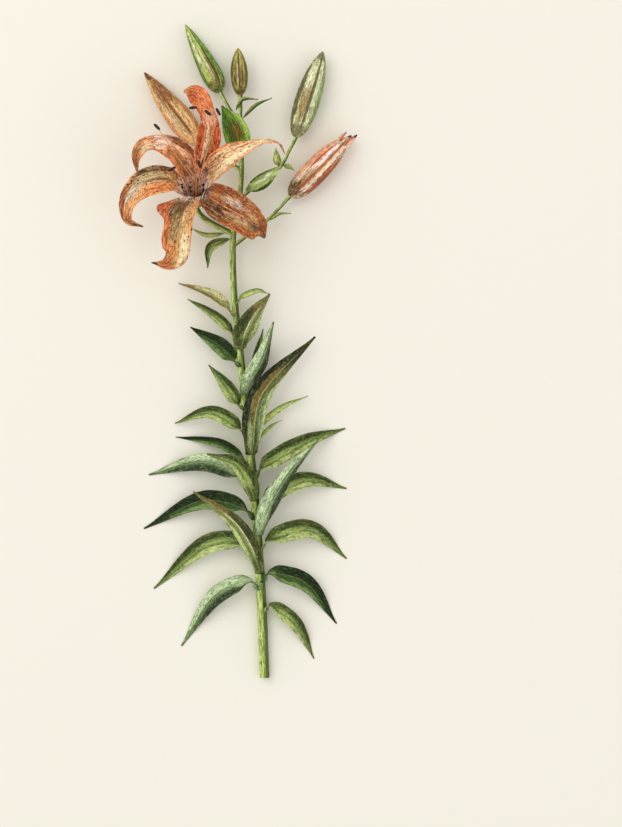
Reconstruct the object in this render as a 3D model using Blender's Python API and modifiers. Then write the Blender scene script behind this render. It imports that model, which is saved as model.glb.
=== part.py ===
"""Tiger lily: one cut stem with an open flower, five buds, bracts and leaves.

It lies on its side on a flat surface, with the open flower turned up. X runs across the stem,
Y along it towards the buds, and Z up from the surface. Sizes and places are in millimetres
and become metres when a mesh is made. Each petal, leaf and bract is a thin blade that follows
a smooth midrib.
"""
import math

import bmesh
import bpy
from mathutils import Matrix, Vector

MM = 0.001
GAP = 0.3  # clearance between pieces that touch
WELD = 0.00001  # metres, for the loose caps of a tube
LEAF_THICK = 0.8
TEPAL_THICK = 0.8
UP = Vector((0, 0, 1))
MIDDLE = Vector((4.8, -0.4, 0))  # the middle of the whole lily, which becomes the origin

# The main stem's centre line, from the cut end to the topmost fork, with its radius there.
STEM = [
    ((24.5, -261, 4.0), 4.0),
    ((22.5, -207, 5.5), 3.9),
    ((18.5, -143, 7.5), 3.7),
    ((13.8, -85, 9.5), 3.4),
    ((8.5, -38, 11.5), 3.1),
    ((4.5, 5, 13), 2.9),
    ((0.8, 40, 13.5), 2.7),
    ((-0.6, 75, 14), 2.6),
    ((0.2, 97, 14), 2.5),
    ((4.3, 118, 13.5), 2.2),
    ((6.3, 140, 13.5), 2.0),
    ((6.2, 160, 14), 1.9),
    ((5.0, 184, 14), 1.7),
]

# Each flower stalk: its centre line from inside the main stem to the bud, and its radius.
STALKS = {
    "bud_1": ([(4.9, 180, 14), (-2, 190.6, 13.5), (-6.9, 198.8, 12), (-10.7, 206.3, 10.2)], 1.2),
    "bud_2": ([(5, 180, 14), (5.5, 192.9, 14.5), (5.3, 203.3, 14)], 1.5),
    "bud_3": (
        [(6, 122, 13.5), (17.8, 131, 13), (29, 138.2, 12.5), (38.5, 147.8, 12), (44.1, 159, 11.5),
         (49.3, 170, 11)],
        1.3,
    ),
    "bud_4": (
        [(-0.4, 83, 14), (11.5, 92, 13), (25, 102.4, 12), (35.3, 112.5, 11.3), (45, 123, 11)],
        1.3,
    ),
    "bud_5": (
        [(6, 143.7, 13.5), (-2.8, 148.5, 13), (-14.8, 152.6, 12), (-21.5, 158, 11.2), (-27.5, 164.5, 11)],
        1.4,
    ),
}

STRAIGHT_END = 3  # length of a stalk's end that points along its bud

# Each bud: its tip, its greatest radius, where along it that is, how pointed it ends (2 is
# round) and how far it is turned about its own axis, in degrees.
BUDS = {
    "bud_1": ((-38.8, 260.4, 7.6), 8.8, 0.26, 1.5, 60),
    "bud_2": ((3.5, 240.8, 13), 6.9, 0.45, 1.9, 90),
    "bud_3": ((71.2, 238.8, 8.6), 10.2, 0.42, 2.1, 75),
    "bud_4": ((91.5, 170, 10.6), 10.2, 0.36, 2.8, 80),
    "bud_5": ((-71.4, 222.1, 8.4), 10.6, 0.34, 1.35, 90),
}
BUD_ROUND = 0.96  # a bud's mean radius, as a share of its greatest one
KEEL_RISE = 0.045  # how far its three keels stand out
SEAM_SINK = 0.03  # how far the seams between them sink in
BUD_FOOT = 2.2  # how full its foot is, 2 being round
BUD_SHOULDER = 0.75
RIPE_BUDS = ("bud_4", "bud_5")  # already turning orange
OPENING_BUD = "bud_4"  # its three outer tips already part
PARTED_TIPS = ((25, 1.5), (145, 6), (265, 3))  # degrees about the bud, reach past its end
PARTED_ROOT = 11  # how far below the bud's end a parted tip is rooted in it
PARTED_BEND = 4  # how far below that end it turns inwards
PARTED_OUT = (4.6, 5.4, 4.4)  # how far it is from the bud's axis at root, bend and tip
PARTED_WIDTH = 8.0

# The open flower: the seat that its parts stand on, and the middle of its throat.
SEAT = Vector((-29.7, 118, 19.5))
THROAT = Vector((-28.7, 128.4, 45))
FLOWER_AXIS = (THROAT - SEAT).normalized()
SEAT_RADIUS = 5.3
NECK = (7, 3, 1.2)  # how far below the seat its stalk points up, widens and reaches the rim
NECK_RADII = (2.5, 3.6, 5.1)
FLOWER_STALK = [(-1, 93, 14), (-11.6, 98.4, 12.5), (-22, 104.5, 10.5), (-27.5, 109.5, 10)]
FLOWER_STALK_RADIUS = 2.2

# How far the two rings of tepals keep from the flower's axis, at heights above its seat.
FUNNEL = (GAP, 12, 22)
INNER = (3.4, 4.8, 7.2)
OUTER = (4.6, 6.8, 11.4)

# Each tepal: inner or outer ring, direction on the seat in degrees, then the midrib past the
# throat, the greatest width, how far its face turns to the viewer (0 to 1), and at even steps
# from foot to tip how many degrees it turns about its midrib and its share of that width.
TEPALS = {
    "tepal_up": (
        OUTER, 90,
        [(-24, 147.7, 47), (-18.8, 163.5, 51), (-18, 178, 52), (-23, 193.5, 47), (-32.5, 203.5, 38),
         (-39, 205, 28)],
        19, 0, (0, 0, 0, -10, -30, -45, -45), (0.4, 0.46, 0.82, 1.0, 0.72, 0.86, 0.10)),
    "tepal_upper_left": (
        INNER, 146,
        [(-38, 147.5, 57), (-46, 156.5, 61.5), (-58, 161, 60), (-69.5, 160, 52), (-75.8, 151.5, 43),
         (-75.5, 141, 35)],
        26, 0.4, (0, 0, 0, -5, -30, -45, -45), (0.3, 0.52, 1.0, 0.78, 0.46, 0.38, 0.08)),
    "tepal_left": (
        OUTER, 184,
        [(-51, 132.5, 47), (-68.5, 129.8, 52), (-81.8, 116.5, 49), (-82.4, 102, 42), (-70.6, 97, 37)],
        24, 0.85, (0, 0, 0, 0, 0, 0, 0), (0.4, 0.38, 0.95, 0.98, 0.68, 0.36, 0.05)),
    "tepal_lower": (
        INNER, 268,
        [(-37.8, 107, 58), (-42.2, 87.5, 66), (-44.4, 72.5, 60), (-52, 67, 51), (-63.6, 68.5, 45)],
        24, 0, (0, 0, 0, 0, 0, 0, 5), (0.3, 0.34, 0.92, 1.0, 1.0, 0.55, 0.05)),
    "tepal_lower_right": (
        OUTER, 326,
        [(-7.4, 113, 47), (8.3, 104, 51), (17, 98, 47), (22, 95, 40), (25.2, 88.5, 33)],
        31, 0.3, (0, 0, 0, 0, 0, 0, 0), (0.3, 0.46, 0.92, 1.0, 0.92, 0.68, 0.08)),
    "tepal_upper_right": (
        INNER, 30,
        [(-10, 145, 57), (8.5, 156.3, 61), (23.2, 162.9, 55), (35.7, 162.5, 45), (41.1, 154.6, 35)],
        20, 0, (0, 0, 0, -5, -25, -40, -45), (0.3, 0.50, 0.95, 1.0, 0.70, 0.42, 0.05)),
}
TEPAL_WAVE = (1.4, 2.0, 2.0, 0.3)
TEPAL_FOOT = {INNER: 5.6, OUTER: 7.4}  # width of a tepal where it stands on the seat

# A flap of the lower tepal's margin: the edge it is on, the share of the length where it is
# widest, its spread along the tepal, its extra width and how far its edge drops.
FLAPS = {"tepal_lower": (1, 0.34, 0.10, 17.5, 7)}
NO_FLAP = (1, 0.5, 1, 0, 0)

# Each stamen: direction on the seat in degrees, the anther's place, and the way it lies.
STAMENS = [
    (150, (-57.9, 172.3, 74), (0.7, -0.7, 0.1)),
    (90, (-30.2, 187.7, 68), (1, 0.1, 0)),
    (30, (-18.5, 183.6, 70), (0.8, -0.6, 0)),
    (-30, (-10.6, 184.8, 66), (0.5, -0.85, 0)),
    (-90, (-24.4, 142.1, 90), (0.3, -1, 0.2)),
    (210, (-45.6, 138.6, 86), (0.9, 0.5, 0)),
]
STAMEN_RING = 2.35
FILAMENT_RADIUS = 0.45
BUNDLE_TOP = 18  # the filaments stay side by side up to this height above the seat
PARTING = (6, 2.0)  # where they part: how far past the throat, and from the flower's axis
FILAMENT_BOW = 4
ANTHER = (3.3, 1.2, 0.95)  # half its length, width and height
OVARY = [(0.3, 1.15), (3, 1.5), (12, 1.45), (17, 0.75)]  # up the flower's axis: height and radius
STIGMA = Vector((-35.5, 143, 93))
STIGMA_RADIUS = 2.3
STIGMA_HALF_HEIGHT = 1.2
STYLE_STRAIGHT = 12  # how far past the throat the style runs along the flower's axis

# Bracts and small leaves among the flower stalks: base, middle and tip of the midrib,
# greatest width, and the way the upper face looks at the base.
BRACTS = {
    "bract_1": ((5.5, 160, 16.5), (1.6, 175, 23), (-9.1, 194.3, 18), 21, (0, 0, 1)),
    "bract_2": ((2, 191.5, 14.2), (7.7, 199.5, 20.5), (19.5, 199.2, 19), 3.4, (0, 0, 1)),
    "bract_3": ((7.3, 184.7, 15.1), (18, 194.7, 20), (30.6, 200.7, 16), 3.2, (0, 0, 1)),
    "bract_4": ((10, 127.1, 15.3), (23.5, 135.2, 20), (39, 147.5, 15.8), 13, (0, -0.4, 1)),
    "bract_5": ((36.1, 147, 13.6), (34.4, 153, 18), (33.8, 160.5, 19), 6.5, (0, 0, 1)),
    "bract_6": ((40.1, 147.5, 12.7), (45.0, 145.6, 17), (48.2, 143, 17), 4.4, (0, 0, 1)),
    "bract_7": ((29.1, 103.9, 13.2), (37, 108.8, 17.5), (45.9, 108.9, 16), 2.6, (0, 0, 1)),
    "bract_8": ((-7.6, 93.2, 14.4), (-21, 91.6, 17.5), (-33.6, 97.0, 15), 4.2, (0, 0, 1)),
    "bract_9": ((-3.2, 89, 15.3), (-18, 82, 17), (-20.8, 65.8, 10), 8, (0, 0, 1)),
}

# Leaves of the stem: height of the base, direction it leaves the stem (0 to the right, 90 up
# towards the viewer), middle and tip of the midrib, greatest width, and how far the upper
# face turns up, from 0 for edge on to 1 for flat. A tip below the surface lies flat on it.
LEAVES = [
    (38, 40, (17.5, 47.2, 16), (28.1, 45.7, 8), 5.5, 0.8),
    (28, 140, (-15, 43.5, 16), (-44.5, 54.1, 3), 8.5, 0.8),
    (10, 138, (-14, 26.8, 17), (-36.9, 41.3, 8), 9, 0.8),
    (2, 66, (15.3, 24.0, 24), (29.1, 44.9, 20), 21, 0),
    (-12, 147, (-9.6, 2.7, 15.5), (-34.5, 18.9, 8), 14, 0.9),
    (-28, 5, (19.8, -3.5, 12), (23.5, 17.5, 10), 12, 0.5),
    (-34, 62, (22.7, -8, 21), (32.0, 22.8, 20), 17, 0),
    (-46, 150, (-5.8, -28.2, 13), (-20, -11.3, 10), 12, 0.9),
    (-68, 135, (-16.5, -49.5, 18), (-47.1, -57.8, 1), 13, 0.8),
    (-69, 30, (35.4, -47.2, 9.5), (59.4, -35.8, 4), 6, 0.8),
    (-76, 30, (29.9, -60.5, 9), (38.7, -55, 5), 4.5, 0.6),
    (-82, 72, (21.7, -36.7, 26), (65, 11.2, 10), 20, 0),
    (-90, 160, (-9.5, -74.5, 11), (-46.7, -68.8, -7), 8, 0.85),
    (-102, 40, (54, -74, 14), (89, -62, -7), 15, 0.9),
    (-106, 168, (-22, -89, 12), (-68, -99, -7), 16, 0.9),
    (-119, 96, (4, -91, 27), (-21, -82, 22), 15, 0),
    (-126, 22, (56, -103, 12.5), (90, -110, -7), 15, 0.9),
    (-134, 145, (-22, -119, 12), (-72, -142, -7), 16, 0.9),
    (-147, 66, (40, -104, 28), (68, -70, 18), 17, 0),
    (-158, 15, (60, -142, 11), (90, -166, -7), 16, 0.9),
    (-160, 170, (-18, -153, 10), (-64, -190, -7), 16, 0.9),
    (-177, 96, (3, -139, 27), (-32, -112, 16), 15, 0),
    (-184, 35, (56, -184, 10), (82, -218, -7), 15, 0.9),
    (-190, 145, (-12, -194, 9), (-42, -236, -7), 15, 0.9),
    (-208, 35, (48, -216, 9), (64, -246, -7), 12, 0.9),
]
LEAF_SHAPE = (0.52, 0.93, 1.0, 0.76, 0.40, 0.08)
BRACT_SHAPE = (0.20, 0.78, 1.0, 0.80, 0.42, 0.08)
BROAD_BRACT = {"bract_1": (0.55, 0.96, 1.0, 0.80, 0.42, 0.08)}  # broad from its base
LEAF_RISE = math.radians(35)  # angle between the stem and a leaf where it leaves it
LEAF_WAVE = (0.6, 1.5, 1.0, 0)
LEAF_FOLD = 0.12

COLOURS = {
    "stem": (0.20, 0.30, 0.08),
    "leaf": (0.07, 0.16, 0.06),
    "bract": (0.12, 0.25, 0.06),
    "tepal": (0.62, 0.20, 0.06),
    "filament": (0.75, 0.55, 0.40),
    "anther": (0.03, 0.015, 0.02),
    "pistil": (0.55, 0.55, 0.25),
    "bud_green": (0.20, 0.30, 0.07),
    "bud_orange": (0.60, 0.24, 0.10),
}
LEAF_ROUGHNESS = 0.55


def mixed(a, b, start, end, t):
    """The point between a and b, reached at start and at end, for the value t."""
    share = (t - start) / (end - start)
    return a * (1 - share) + b * share


def smooth_path(points, steps):
    """Even steps along a smooth curve through the points (a centripetal spline)."""
    p = [Vector(q) for q in points]
    p = [2 * p[0] - p[1]] + p + [2 * p[-1] - p[-2]]
    knots = [0.0]
    for a, b in zip(p, p[1:]):
        knots.append(knots[-1] + math.sqrt((b - a).length))
    fine = 16
    dense = []
    for i in range(1, len(p) - 2):
        p0, p1, p2, p3 = p[i - 1:i + 3]
        k0, k1, k2, k3 = knots[i - 1:i + 3]
        for s in range(fine):
            t = k1 + (k2 - k1) * s / fine
            a1 = mixed(p0, p1, k0, k1, t)
            a2 = mixed(p1, p2, k1, k2, t)
            a3 = mixed(p2, p3, k2, k3, t)
            b1 = mixed(a1, a2, k0, k2, t)
            b2 = mixed(a2, a3, k1, k3, t)
            dense.append(mixed(b1, b2, k1, k2, t))
    dense.append(p[-2])
    lengths = [0.0]
    for a, b in zip(dense, dense[1:]):
        lengths.append(lengths[-1] + (b - a).length)
    path = []
    k = 0
    for step in range(steps + 1):
        wanted = lengths[-1] * step / steps
        while k < len(dense) - 2 and lengths[k + 1] < wanted:
            k += 1
        path.append(mixed(dense[k], dense[k + 1], lengths[k], lengths[k + 1], wanted))
    return path


def profile(values, share):
    """A smooth value at a share of the way, from values at even steps."""
    last = len(values) - 1
    i = min(int(share * last), last - 1)
    t = share * last - i
    a = values[max(i - 1, 0)]
    b = values[i]
    c = values[i + 1]
    d = values[min(i + 2, last)]
    bent = (2 * a - 5 * b + 4 * c - d) * t * t + (3 * b - a - 3 * c + d) * t ** 3
    return 0.5 * (2 * b + (c - a) * t + bent)


def eased(share):
    """0 to 1 with a soft start and end."""
    share = min(max(share, 0.0), 1.0)
    return share * share * (3 - 2 * share)


def frames(path, face):
    """At each point of a path: the ways along it, across it and out of its face, with no twist."""
    result = []
    out = Vector(face)
    for i, point in enumerate(path):
        along = (path[min(i + 1, len(path) - 1)] - path[max(i - 1, 0)]).normalized()
        out = (out - along * out.dot(along)).normalized()
        result.append((along, along.cross(out), out))
    return result


def turned(across, out, angle):
    """The ways across and out of a face, turned about the way along it."""
    c = math.cos(angle)
    s = math.sin(angle)
    return across * c - out * s, out * c + across * s


def to_viewer(step):
    """The turn about a path that brings a blade's face as far up as it goes."""
    along, across, out = step
    return math.atan2(across.z, out.z)


def ways_around(along):
    """Two ways square to a direction; with it they make a right-handed set."""
    across = UP.cross(along).normalized()
    return across, along.cross(across)


def material(name, colour, roughness=0.5):
    """A plain material of the part's colour."""
    made = bpy.data.materials.get(name)
    if made is None:
        made = bpy.data.materials.new(name)
        made.use_nodes = True
        shader = made.node_tree.nodes["Principled BSDF"]
        shader.inputs["Base Color"].default_value = (*colour, 1)
        shader.inputs["Roughness"].default_value = roughness
        shader.inputs["Metallic"].default_value = 0.0
    return made


def add_object(name, mesh, collection, paint):
    """An object that shows the mesh in a collection."""
    thing = bpy.data.objects.new(name, mesh)
    collection.objects.link(thing)
    mesh.materials.append(paint)
    mesh.shade_smooth()
    return thing


def blade_mesh(name, path, face, cells, half_width, curl, roll, fold=0.0, wave=(0, 0, 0, 0), flap=NO_FLAP):
    """A thin sheet along a path: a grid whose rows are bent across by curl and fold, and waved.

    half_width, curl and roll give a value for a share of the length. wave is its height at the
    edge, the number of waves, how far the left edge runs behind the right one, and the share
    of the length where it begins. flap is like those in FLAPS.
    """
    rows, columns = cells
    sheet = bmesh.new()
    bmesh.ops.create_grid(sheet, x_segments=columns, y_segments=rows, size=1)
    steps = frames(path, face)
    height, count, lag, begin = wave
    flap_edge, flap_place, flap_spread, flap_width, flap_drop = flap
    for vertex in sheet.verts:
        u = vertex.co.x
        share = (vertex.co.y + 1) / 2
        row = round(share * rows)
        across, out = turned(steps[row][1], steps[row][2], roll(share))
        width = half_width(share)
        bend = curl(share)
        sideways = width * math.sin(bend * u) / bend
        lift = width * (1 - math.cos(bend * u)) / bend + fold * width * abs(u)
        side_lag = lag if u < 0 else 0.0
        edge = height * u * u * eased(4 * (share - begin)) * eased(4 - 4 * share)
        lift += edge * math.sin(2 * math.pi * count * share + side_lag)
        on_flap = max(u * flap_edge, 0) ** 1.5 * math.exp(-((share - flap_place) / flap_spread) ** 2)
        sideways += flap_edge * flap_width * on_flap
        lift -= flap_drop * on_flap
        vertex.co = path[row] + across * sideways + out * lift
    bmesh.ops.triangulate(sheet, faces=sheet.faces[:])
    mesh = bpy.data.meshes.new(name)
    sheet.to_mesh(mesh)
    sheet.free()
    return mesh


def press_on_floor(mesh, lowest):
    """Flattens what would sink below a height above the floor, then turns the mesh to metres."""
    for vertex in mesh.vertices:
        vertex.co.z = max(vertex.co.z, lowest)
        vertex.co *= MM


def add_blade(name, mesh, thickness, collection, paint):
    """Gives a thin sheet its thickness, half on each face."""
    press_on_floor(mesh, thickness / 2)
    thing = add_object(name, mesh, collection, paint)
    solid = thing.modifiers.new("thickness", "SOLIDIFY")
    solid.thickness = thickness * MM
    solid.offset = 0
    return thing


def tube(name, path, radii, sides_step, collection):
    """A round tube along a path with a radius at each point, as a closed mesh."""
    data = bpy.data.curves.new(name, "CURVE")
    data.dimensions = "3D"
    data.bevel_depth = MM
    data.bevel_resolution = sides_step
    data.use_fill_caps = True
    line = data.splines.new("POLY")
    line.points.add(len(path) - 1)
    for point, place, radius in zip(line.points, path, radii):
        point.co = (*(Vector(place) * MM), 1)
        point.radius = radius
    guide = bpy.data.objects.new(name, data)
    collection.objects.link(guide)
    return to_mesh_object(guide, collection)


def to_mesh_object(guide, collection):
    """Replaces an object by a plain mesh of its evaluated shape, with its loose caps joined."""
    graph = bpy.context.evaluated_depsgraph_get()
    mesh = bpy.data.meshes.new_from_object(guide.evaluated_get(graph))
    body = bmesh.new()
    body.from_mesh(mesh)
    bmesh.ops.remove_doubles(body, verts=body.verts[:], dist=WELD)
    bmesh.ops.recalc_face_normals(body, faces=body.faces[:])
    body.to_mesh(mesh)
    body.free()
    name = guide.name
    place = guide.matrix_world.copy()
    bpy.data.objects.remove(guide)
    made = bpy.data.objects.new(name, mesh)
    made.matrix_world = place
    collection.objects.link(made)
    return made


def joined(name, pieces, collection, paint):
    """One solid from overlapping pieces, by one union on a collection of all but the first."""
    first, *others = pieces
    group = bpy.data.collections.new(name + "_pieces")
    bpy.context.scene.collection.children.link(group)
    for piece in others:
        collection.objects.unlink(piece)
        group.objects.link(piece)
    union = first.modifiers.new("union", "BOOLEAN")
    union.operation = "UNION"
    union.operand_type = "COLLECTION"
    union.collection = group
    first.name = name
    whole = to_mesh_object(first, collection)
    for piece in list(group.objects):
        bpy.data.objects.remove(piece)
    bpy.data.collections.remove(group)
    whole.data.materials.clear()
    whole.data.materials.append(paint)
    whole.data.shade_smooth()
    return whole


STEM_STEPS = 30
STEM_LINE = smooth_path([place for place, radius in STEM], STEM_STEPS)


def stem_radius(y):
    """The main stem's radius at a place along it."""
    for (low, low_radius), (high, high_radius) in zip(STEM, STEM[1:]):
        if y <= high[1]:
            share = max((y - low[1]) / (high[1] - low[1]), 0.0)
            return low_radius + (high_radius - low_radius) * share
    return STEM[-1][1]


def stem_at(y):
    """The main stem's centre and direction at a place along it."""
    for a, b in zip(STEM_LINE, STEM_LINE[1:]):
        if y <= b.y:
            break
    return mixed(a, b, a.y, b.y, y), (b - a).normalized()


def flower_ways(degrees):
    """The way out from the flower's axis, for a direction on its seat."""
    right = (Vector((1, 0, 0)) - FLOWER_AXIS * FLOWER_AXIS.x).normalized()
    far = FLOWER_AXIS.cross(right)
    angle = math.radians(degrees)
    return right * math.cos(angle) + far * math.sin(angle)


def add_stem(collection):
    """The main stem with all its flower stalks grown from it."""
    pieces = [tube("main", STEM_LINE, [stem_radius(p.y) for p in STEM_LINE], 3, collection)]
    for name, (points, radius) in STALKS.items():
        tip = Vector(BUDS[name][0])
        end = Vector(points[-1])
        points = points[:-1] + [end - (tip - end).normalized() * STRAIGHT_END, end]
        path = smooth_path(points, 9)
        pieces.append(tube(name + "_stalk", path, [radius] * len(path), 2, collection))
    bend, neck, rim = (SEAT - FLOWER_AXIS * below for below in NECK)
    path = smooth_path([*FLOWER_STALK, bend, neck], 11) + [rim, SEAT]
    radii = [FLOWER_STALK_RADIUS] * (len(path) - 4) + [*NECK_RADII, SEAT_RADIUS]
    pieces.append(tube("flower_stalk", path, radii, 3, collection))
    joined("stem", pieces, collection, material("stem", COLOURS["stem"]))


def add_leaves(collection):
    """The leaves of the main stem, each from its own height and side."""
    paint = material("leaf", COLOURS["leaf"], LEAF_ROUGHNESS)
    cells = (10, 4)
    for number, (height, side, middle, tip, width, facing) in enumerate(LEAVES, 1):
        centre, up_stem = stem_at(height)
        right = up_stem.cross(UP).normalized()
        above = right.cross(up_stem)
        away = right * math.cos(math.radians(side)) + above * math.sin(math.radians(side))
        base = centre + away * (stem_radius(height) + GAP + LEAF_THICK / 2)
        start = up_stem * math.cos(LEAF_RISE) + away * math.sin(LEAF_RISE)
        face = up_stem * math.sin(LEAF_RISE) - away * math.cos(LEAF_RISE)
        near = base + start * 0.10 * (Vector(tip) - base).length
        path = smooth_path([base, near, middle, tip], cells[0])
        steps = frames(path, face)

        def roll(share, steps=steps, facing=facing):
            """Turns the upper face towards the viewer over the first part of the leaf."""
            return to_viewer(steps[round(share * cells[0])]) * facing * eased(4 * share)

        mesh = blade_mesh(
            f"leaf_{number:02d}", path, face, cells,
            half_width=lambda share, width=width: profile(LEAF_SHAPE, share) * width / 2,
            curl=lambda share: 0.5 - 0.3 * share, roll=roll, fold=LEAF_FOLD, wave=LEAF_WAVE)
        add_blade(f"leaf_{number:02d}", mesh, LEAF_THICK, collection, paint)


def add_bracts(collection):
    """The small leaves among the flower stalks."""
    paint = material("bract", COLOURS["bract"], LEAF_ROUGHNESS)
    for name, (base, middle, tip, width, face) in BRACTS.items():
        cells = (8, 4) if width > 6 else (7, 2)
        path = smooth_path([base, middle, tip], cells[0])
        shape = BROAD_BRACT.get(name, BRACT_SHAPE)
        mesh = blade_mesh(
            name, path, face, cells,
            half_width=lambda share, width=width, shape=shape: max(profile(shape, share) * width / 2, 0.5),
            curl=lambda share: 0.5, roll=lambda share: 0.0, fold=LEAF_FOLD)
        add_blade(name, mesh, LEAF_THICK, collection, paint)


def from_axis(point):
    """A point's distance from the flower's axis."""
    offset = point - SEAT
    return (offset - FLOWER_AXIS * offset.dot(FLOWER_AXIS)).length


def add_tepals(collection):
    """The open flower's six tepals, in a narrow funnel that flares and bends back."""
    paint = material("tepal", COLOURS["tepal"], 0.5)
    cells = (18, 6)
    for name, (ring, degrees, midrib, width, facing, twist, shape) in TEPALS.items():
        away = flower_ways(degrees)
        funnel = [SEAT + FLOWER_AXIS * height + away * out for height, out in zip(FUNNEL, ring)]
        path = smooth_path([*funnel, *midrib], cells[0])
        steps = frames(path, -away)
        foot = TEPAL_FOOT[ring]

        def half_width(share, width=width, foot=foot, shape=shape):
            """Half the width, eased from the foot to the tepal's own shape."""
            own = eased(6 * share)
            return (profile(shape, share) * width * own + foot * (1 - own)) / 2

        def curl(share, path=path, half_width=half_width):
            """Bends the tepal across as round as the funnel is where it passes."""
            return max(half_width(share) / from_axis(path[round(share * cells[0])]), 0.15)

        def roll(share, steps=steps, facing=facing, twist=twist):
            """Turns the tepal about its midrib past the throat."""
            return to_viewer(steps[round(share * cells[0])]) * facing * eased(3 * share - 0.7) + math.radians(
                profile(twist, share))

        mesh = blade_mesh(
            name, path, -away, cells, half_width, curl, roll, wave=TEPAL_WAVE, flap=FLAPS.get(name, NO_FLAP))
        add_blade(name, mesh, TEPAL_THICK, collection, paint)


def add_stamens(collection):
    """Six filaments from the seat, each with its anther lying across its end."""
    pale = material("filament", COLOURS["filament"], 0.4)
    dark = material("anther", COLOURS["anther"], 0.8)
    for number, (degrees, place, lie) in enumerate(STAMENS, 1):
        away = flower_ways(degrees)
        foot = SEAT + FLOWER_AXIS * GAP + away * STAMEN_RING
        anther = Vector(place)
        end = anther - UP * (ANTHER[2] + GAP)
        low = SEAT + FLOWER_AXIS * BUNDLE_TOP + away * (STAMEN_RING + 0.2)
        leave = THROAT + FLOWER_AXIS * PARTING[0] + away * PARTING[1] + (end - THROAT) * 0.06
        middle = leave.lerp(end, 0.55) + UP * FILAMENT_BOW
        path = smooth_path([foot, low, leave, middle, end - UP], 12) + [end]
        filament = tube(f"filament_{number}", path, [FILAMENT_RADIUS] * len(path), 1, collection)
        filament.data.materials.append(pale)
        filament.data.shade_smooth()
        mesh = bpy.data.meshes.new(f"anther_{number}")
        body = bmesh.new()
        bmesh.ops.create_uvsphere(body, u_segments=10, v_segments=7, radius=1)
        along = Vector(lie).normalized()
        across, above = ways_around(along)
        for vertex in body.verts:
            x, y, z = vertex.co
            vertex.co = (anther + across * x * ANTHER[1] + above * y * ANTHER[2] + along * z * ANTHER[0]) * MM
        body.to_mesh(mesh)
        body.free()
        add_object(f"anther_{number}", mesh, collection, dark)


def add_pistil(collection):
    """Ovary, style and three-lobed stigma, grown as one piece."""
    foot = [SEAT + FLOWER_AXIS * height for height, radius in OVARY]
    leave = THROAT + FLOWER_AXIS * STYLE_STRAIGHT
    middle = leave.lerp(STIGMA, 0.5) + UP * 1.5
    path = smooth_path([*foot, leave, middle, STIGMA], 18)
    radii = []
    for point in path:
        height = (point - SEAT).dot(FLOWER_AXIS)
        radius = OVARY[-1][1]
        for (low, a), (high, b) in zip(OVARY, OVARY[1:]):
            if low <= height <= high:
                radius = a + (b - a) * (height - low) / (high - low)
        radii.append(radius)
    style = tube("style", path, radii, 1, collection)
    stigma = bmesh.new()
    bmesh.ops.create_uvsphere(stigma, u_segments=12, v_segments=6, radius=1)
    along = (path[-1] - path[-2]).normalized()
    across, above = ways_around(along)
    for vertex in stigma.verts:
        angle = math.atan2(vertex.co.y, vertex.co.x)
        lobe = STIGMA_RADIUS * (0.75 + 0.25 * math.cos(3 * angle))
        x, y, z = vertex.co
        vertex.co = (STIGMA + across * x * lobe + above * y * lobe + along * z * STIGMA_HALF_HEIGHT) * MM
    mesh = bpy.data.meshes.new("stigma")
    stigma.to_mesh(mesh)
    stigma.free()
    head = bpy.data.objects.new("stigma", mesh)
    collection.objects.link(head)
    joined("pistil", [style, head], collection, material("pistil", COLOURS["pistil"], 0.4))


def add_bud(name, collection):
    """A closed bud: widest near its foot, with three keels and three seams between them."""
    tip, radius, widest, point, turn = BUDS[name]
    end = Vector(STALKS[name][0][-1])
    along = (Vector(tip) - end).normalized()
    foot = end + along * GAP
    length = (Vector(tip) - foot).length
    across, above = ways_around(along)
    body = bmesh.new()
    bmesh.ops.create_uvsphere(body, u_segments=18, v_segments=14, radius=1)
    for vertex in body.verts:
        angle = math.atan2(vertex.co.y, vertex.co.x)
        share = (vertex.co.z + 1) / 2
        if share < widest:
            size = math.sqrt(max(1 - (1 - share / widest) ** BUD_FOOT, 0.0))
        else:
            size = max(1 - ((share - widest) / (1 - widest)) ** point, 0.0) ** BUD_SHOULDER
        around = angle + math.radians(turn)
        size *= radius * (BUD_ROUND + KEEL_RISE * math.cos(3 * around) - SEAM_SINK * math.cos(6 * around))
        if vertex.co.xy.length < 1e-6:
            size = 0.0
        away = across * math.cos(angle) + above * math.sin(angle)
        vertex.co = foot + along * length * share + away * size
    mesh = bpy.data.meshes.new(name)
    body.to_mesh(mesh)
    body.free()
    press_on_floor(mesh, 0)
    slot = "bud_orange" if name in RIPE_BUDS else "bud_green"
    paint = material(slot, COLOURS[slot])
    closed = add_object(name, mesh, collection, paint)
    if name != OPENING_BUD:
        return
    pieces = [closed]
    for way, reach in PARTED_TIPS:
        away = across * math.cos(math.radians(way)) + above * math.sin(math.radians(way))
        places = [Vector(tip) + along * rise + away * out for rise, out in zip(
            (-PARTED_ROOT, -PARTED_BEND, reach), PARTED_OUT)]
        path = smooth_path(places, 6)
        mesh = blade_mesh(
            "tip", path, -away, (6, 2), half_width=lambda share: PARTED_WIDTH / 2 * (1 - 0.85 * share ** 2.5),
            curl=lambda share: 0.8, roll=lambda share: 0.0)
        pieces.append(add_blade("tip", mesh, TEPAL_THICK, collection, paint))
    joined(name, pieces, collection, paint)


def main():
    """Builds the cut stem in an empty scene."""
    for thing in list(bpy.data.objects):
        bpy.data.objects.remove(thing)
    collection = bpy.data.collections.new("tiger_lily")
    bpy.context.scene.collection.children.link(collection)
    add_stem(collection)
    add_leaves(collection)
    add_bracts(collection)
    add_tepals(collection)
    add_stamens(collection)
    add_pistil(collection)
    for name in BUDS:
        add_bud(name, collection)
    for thing in collection.objects:
        thing.data.transform(Matrix.Translation(-MIDDLE * MM))


main()
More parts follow.
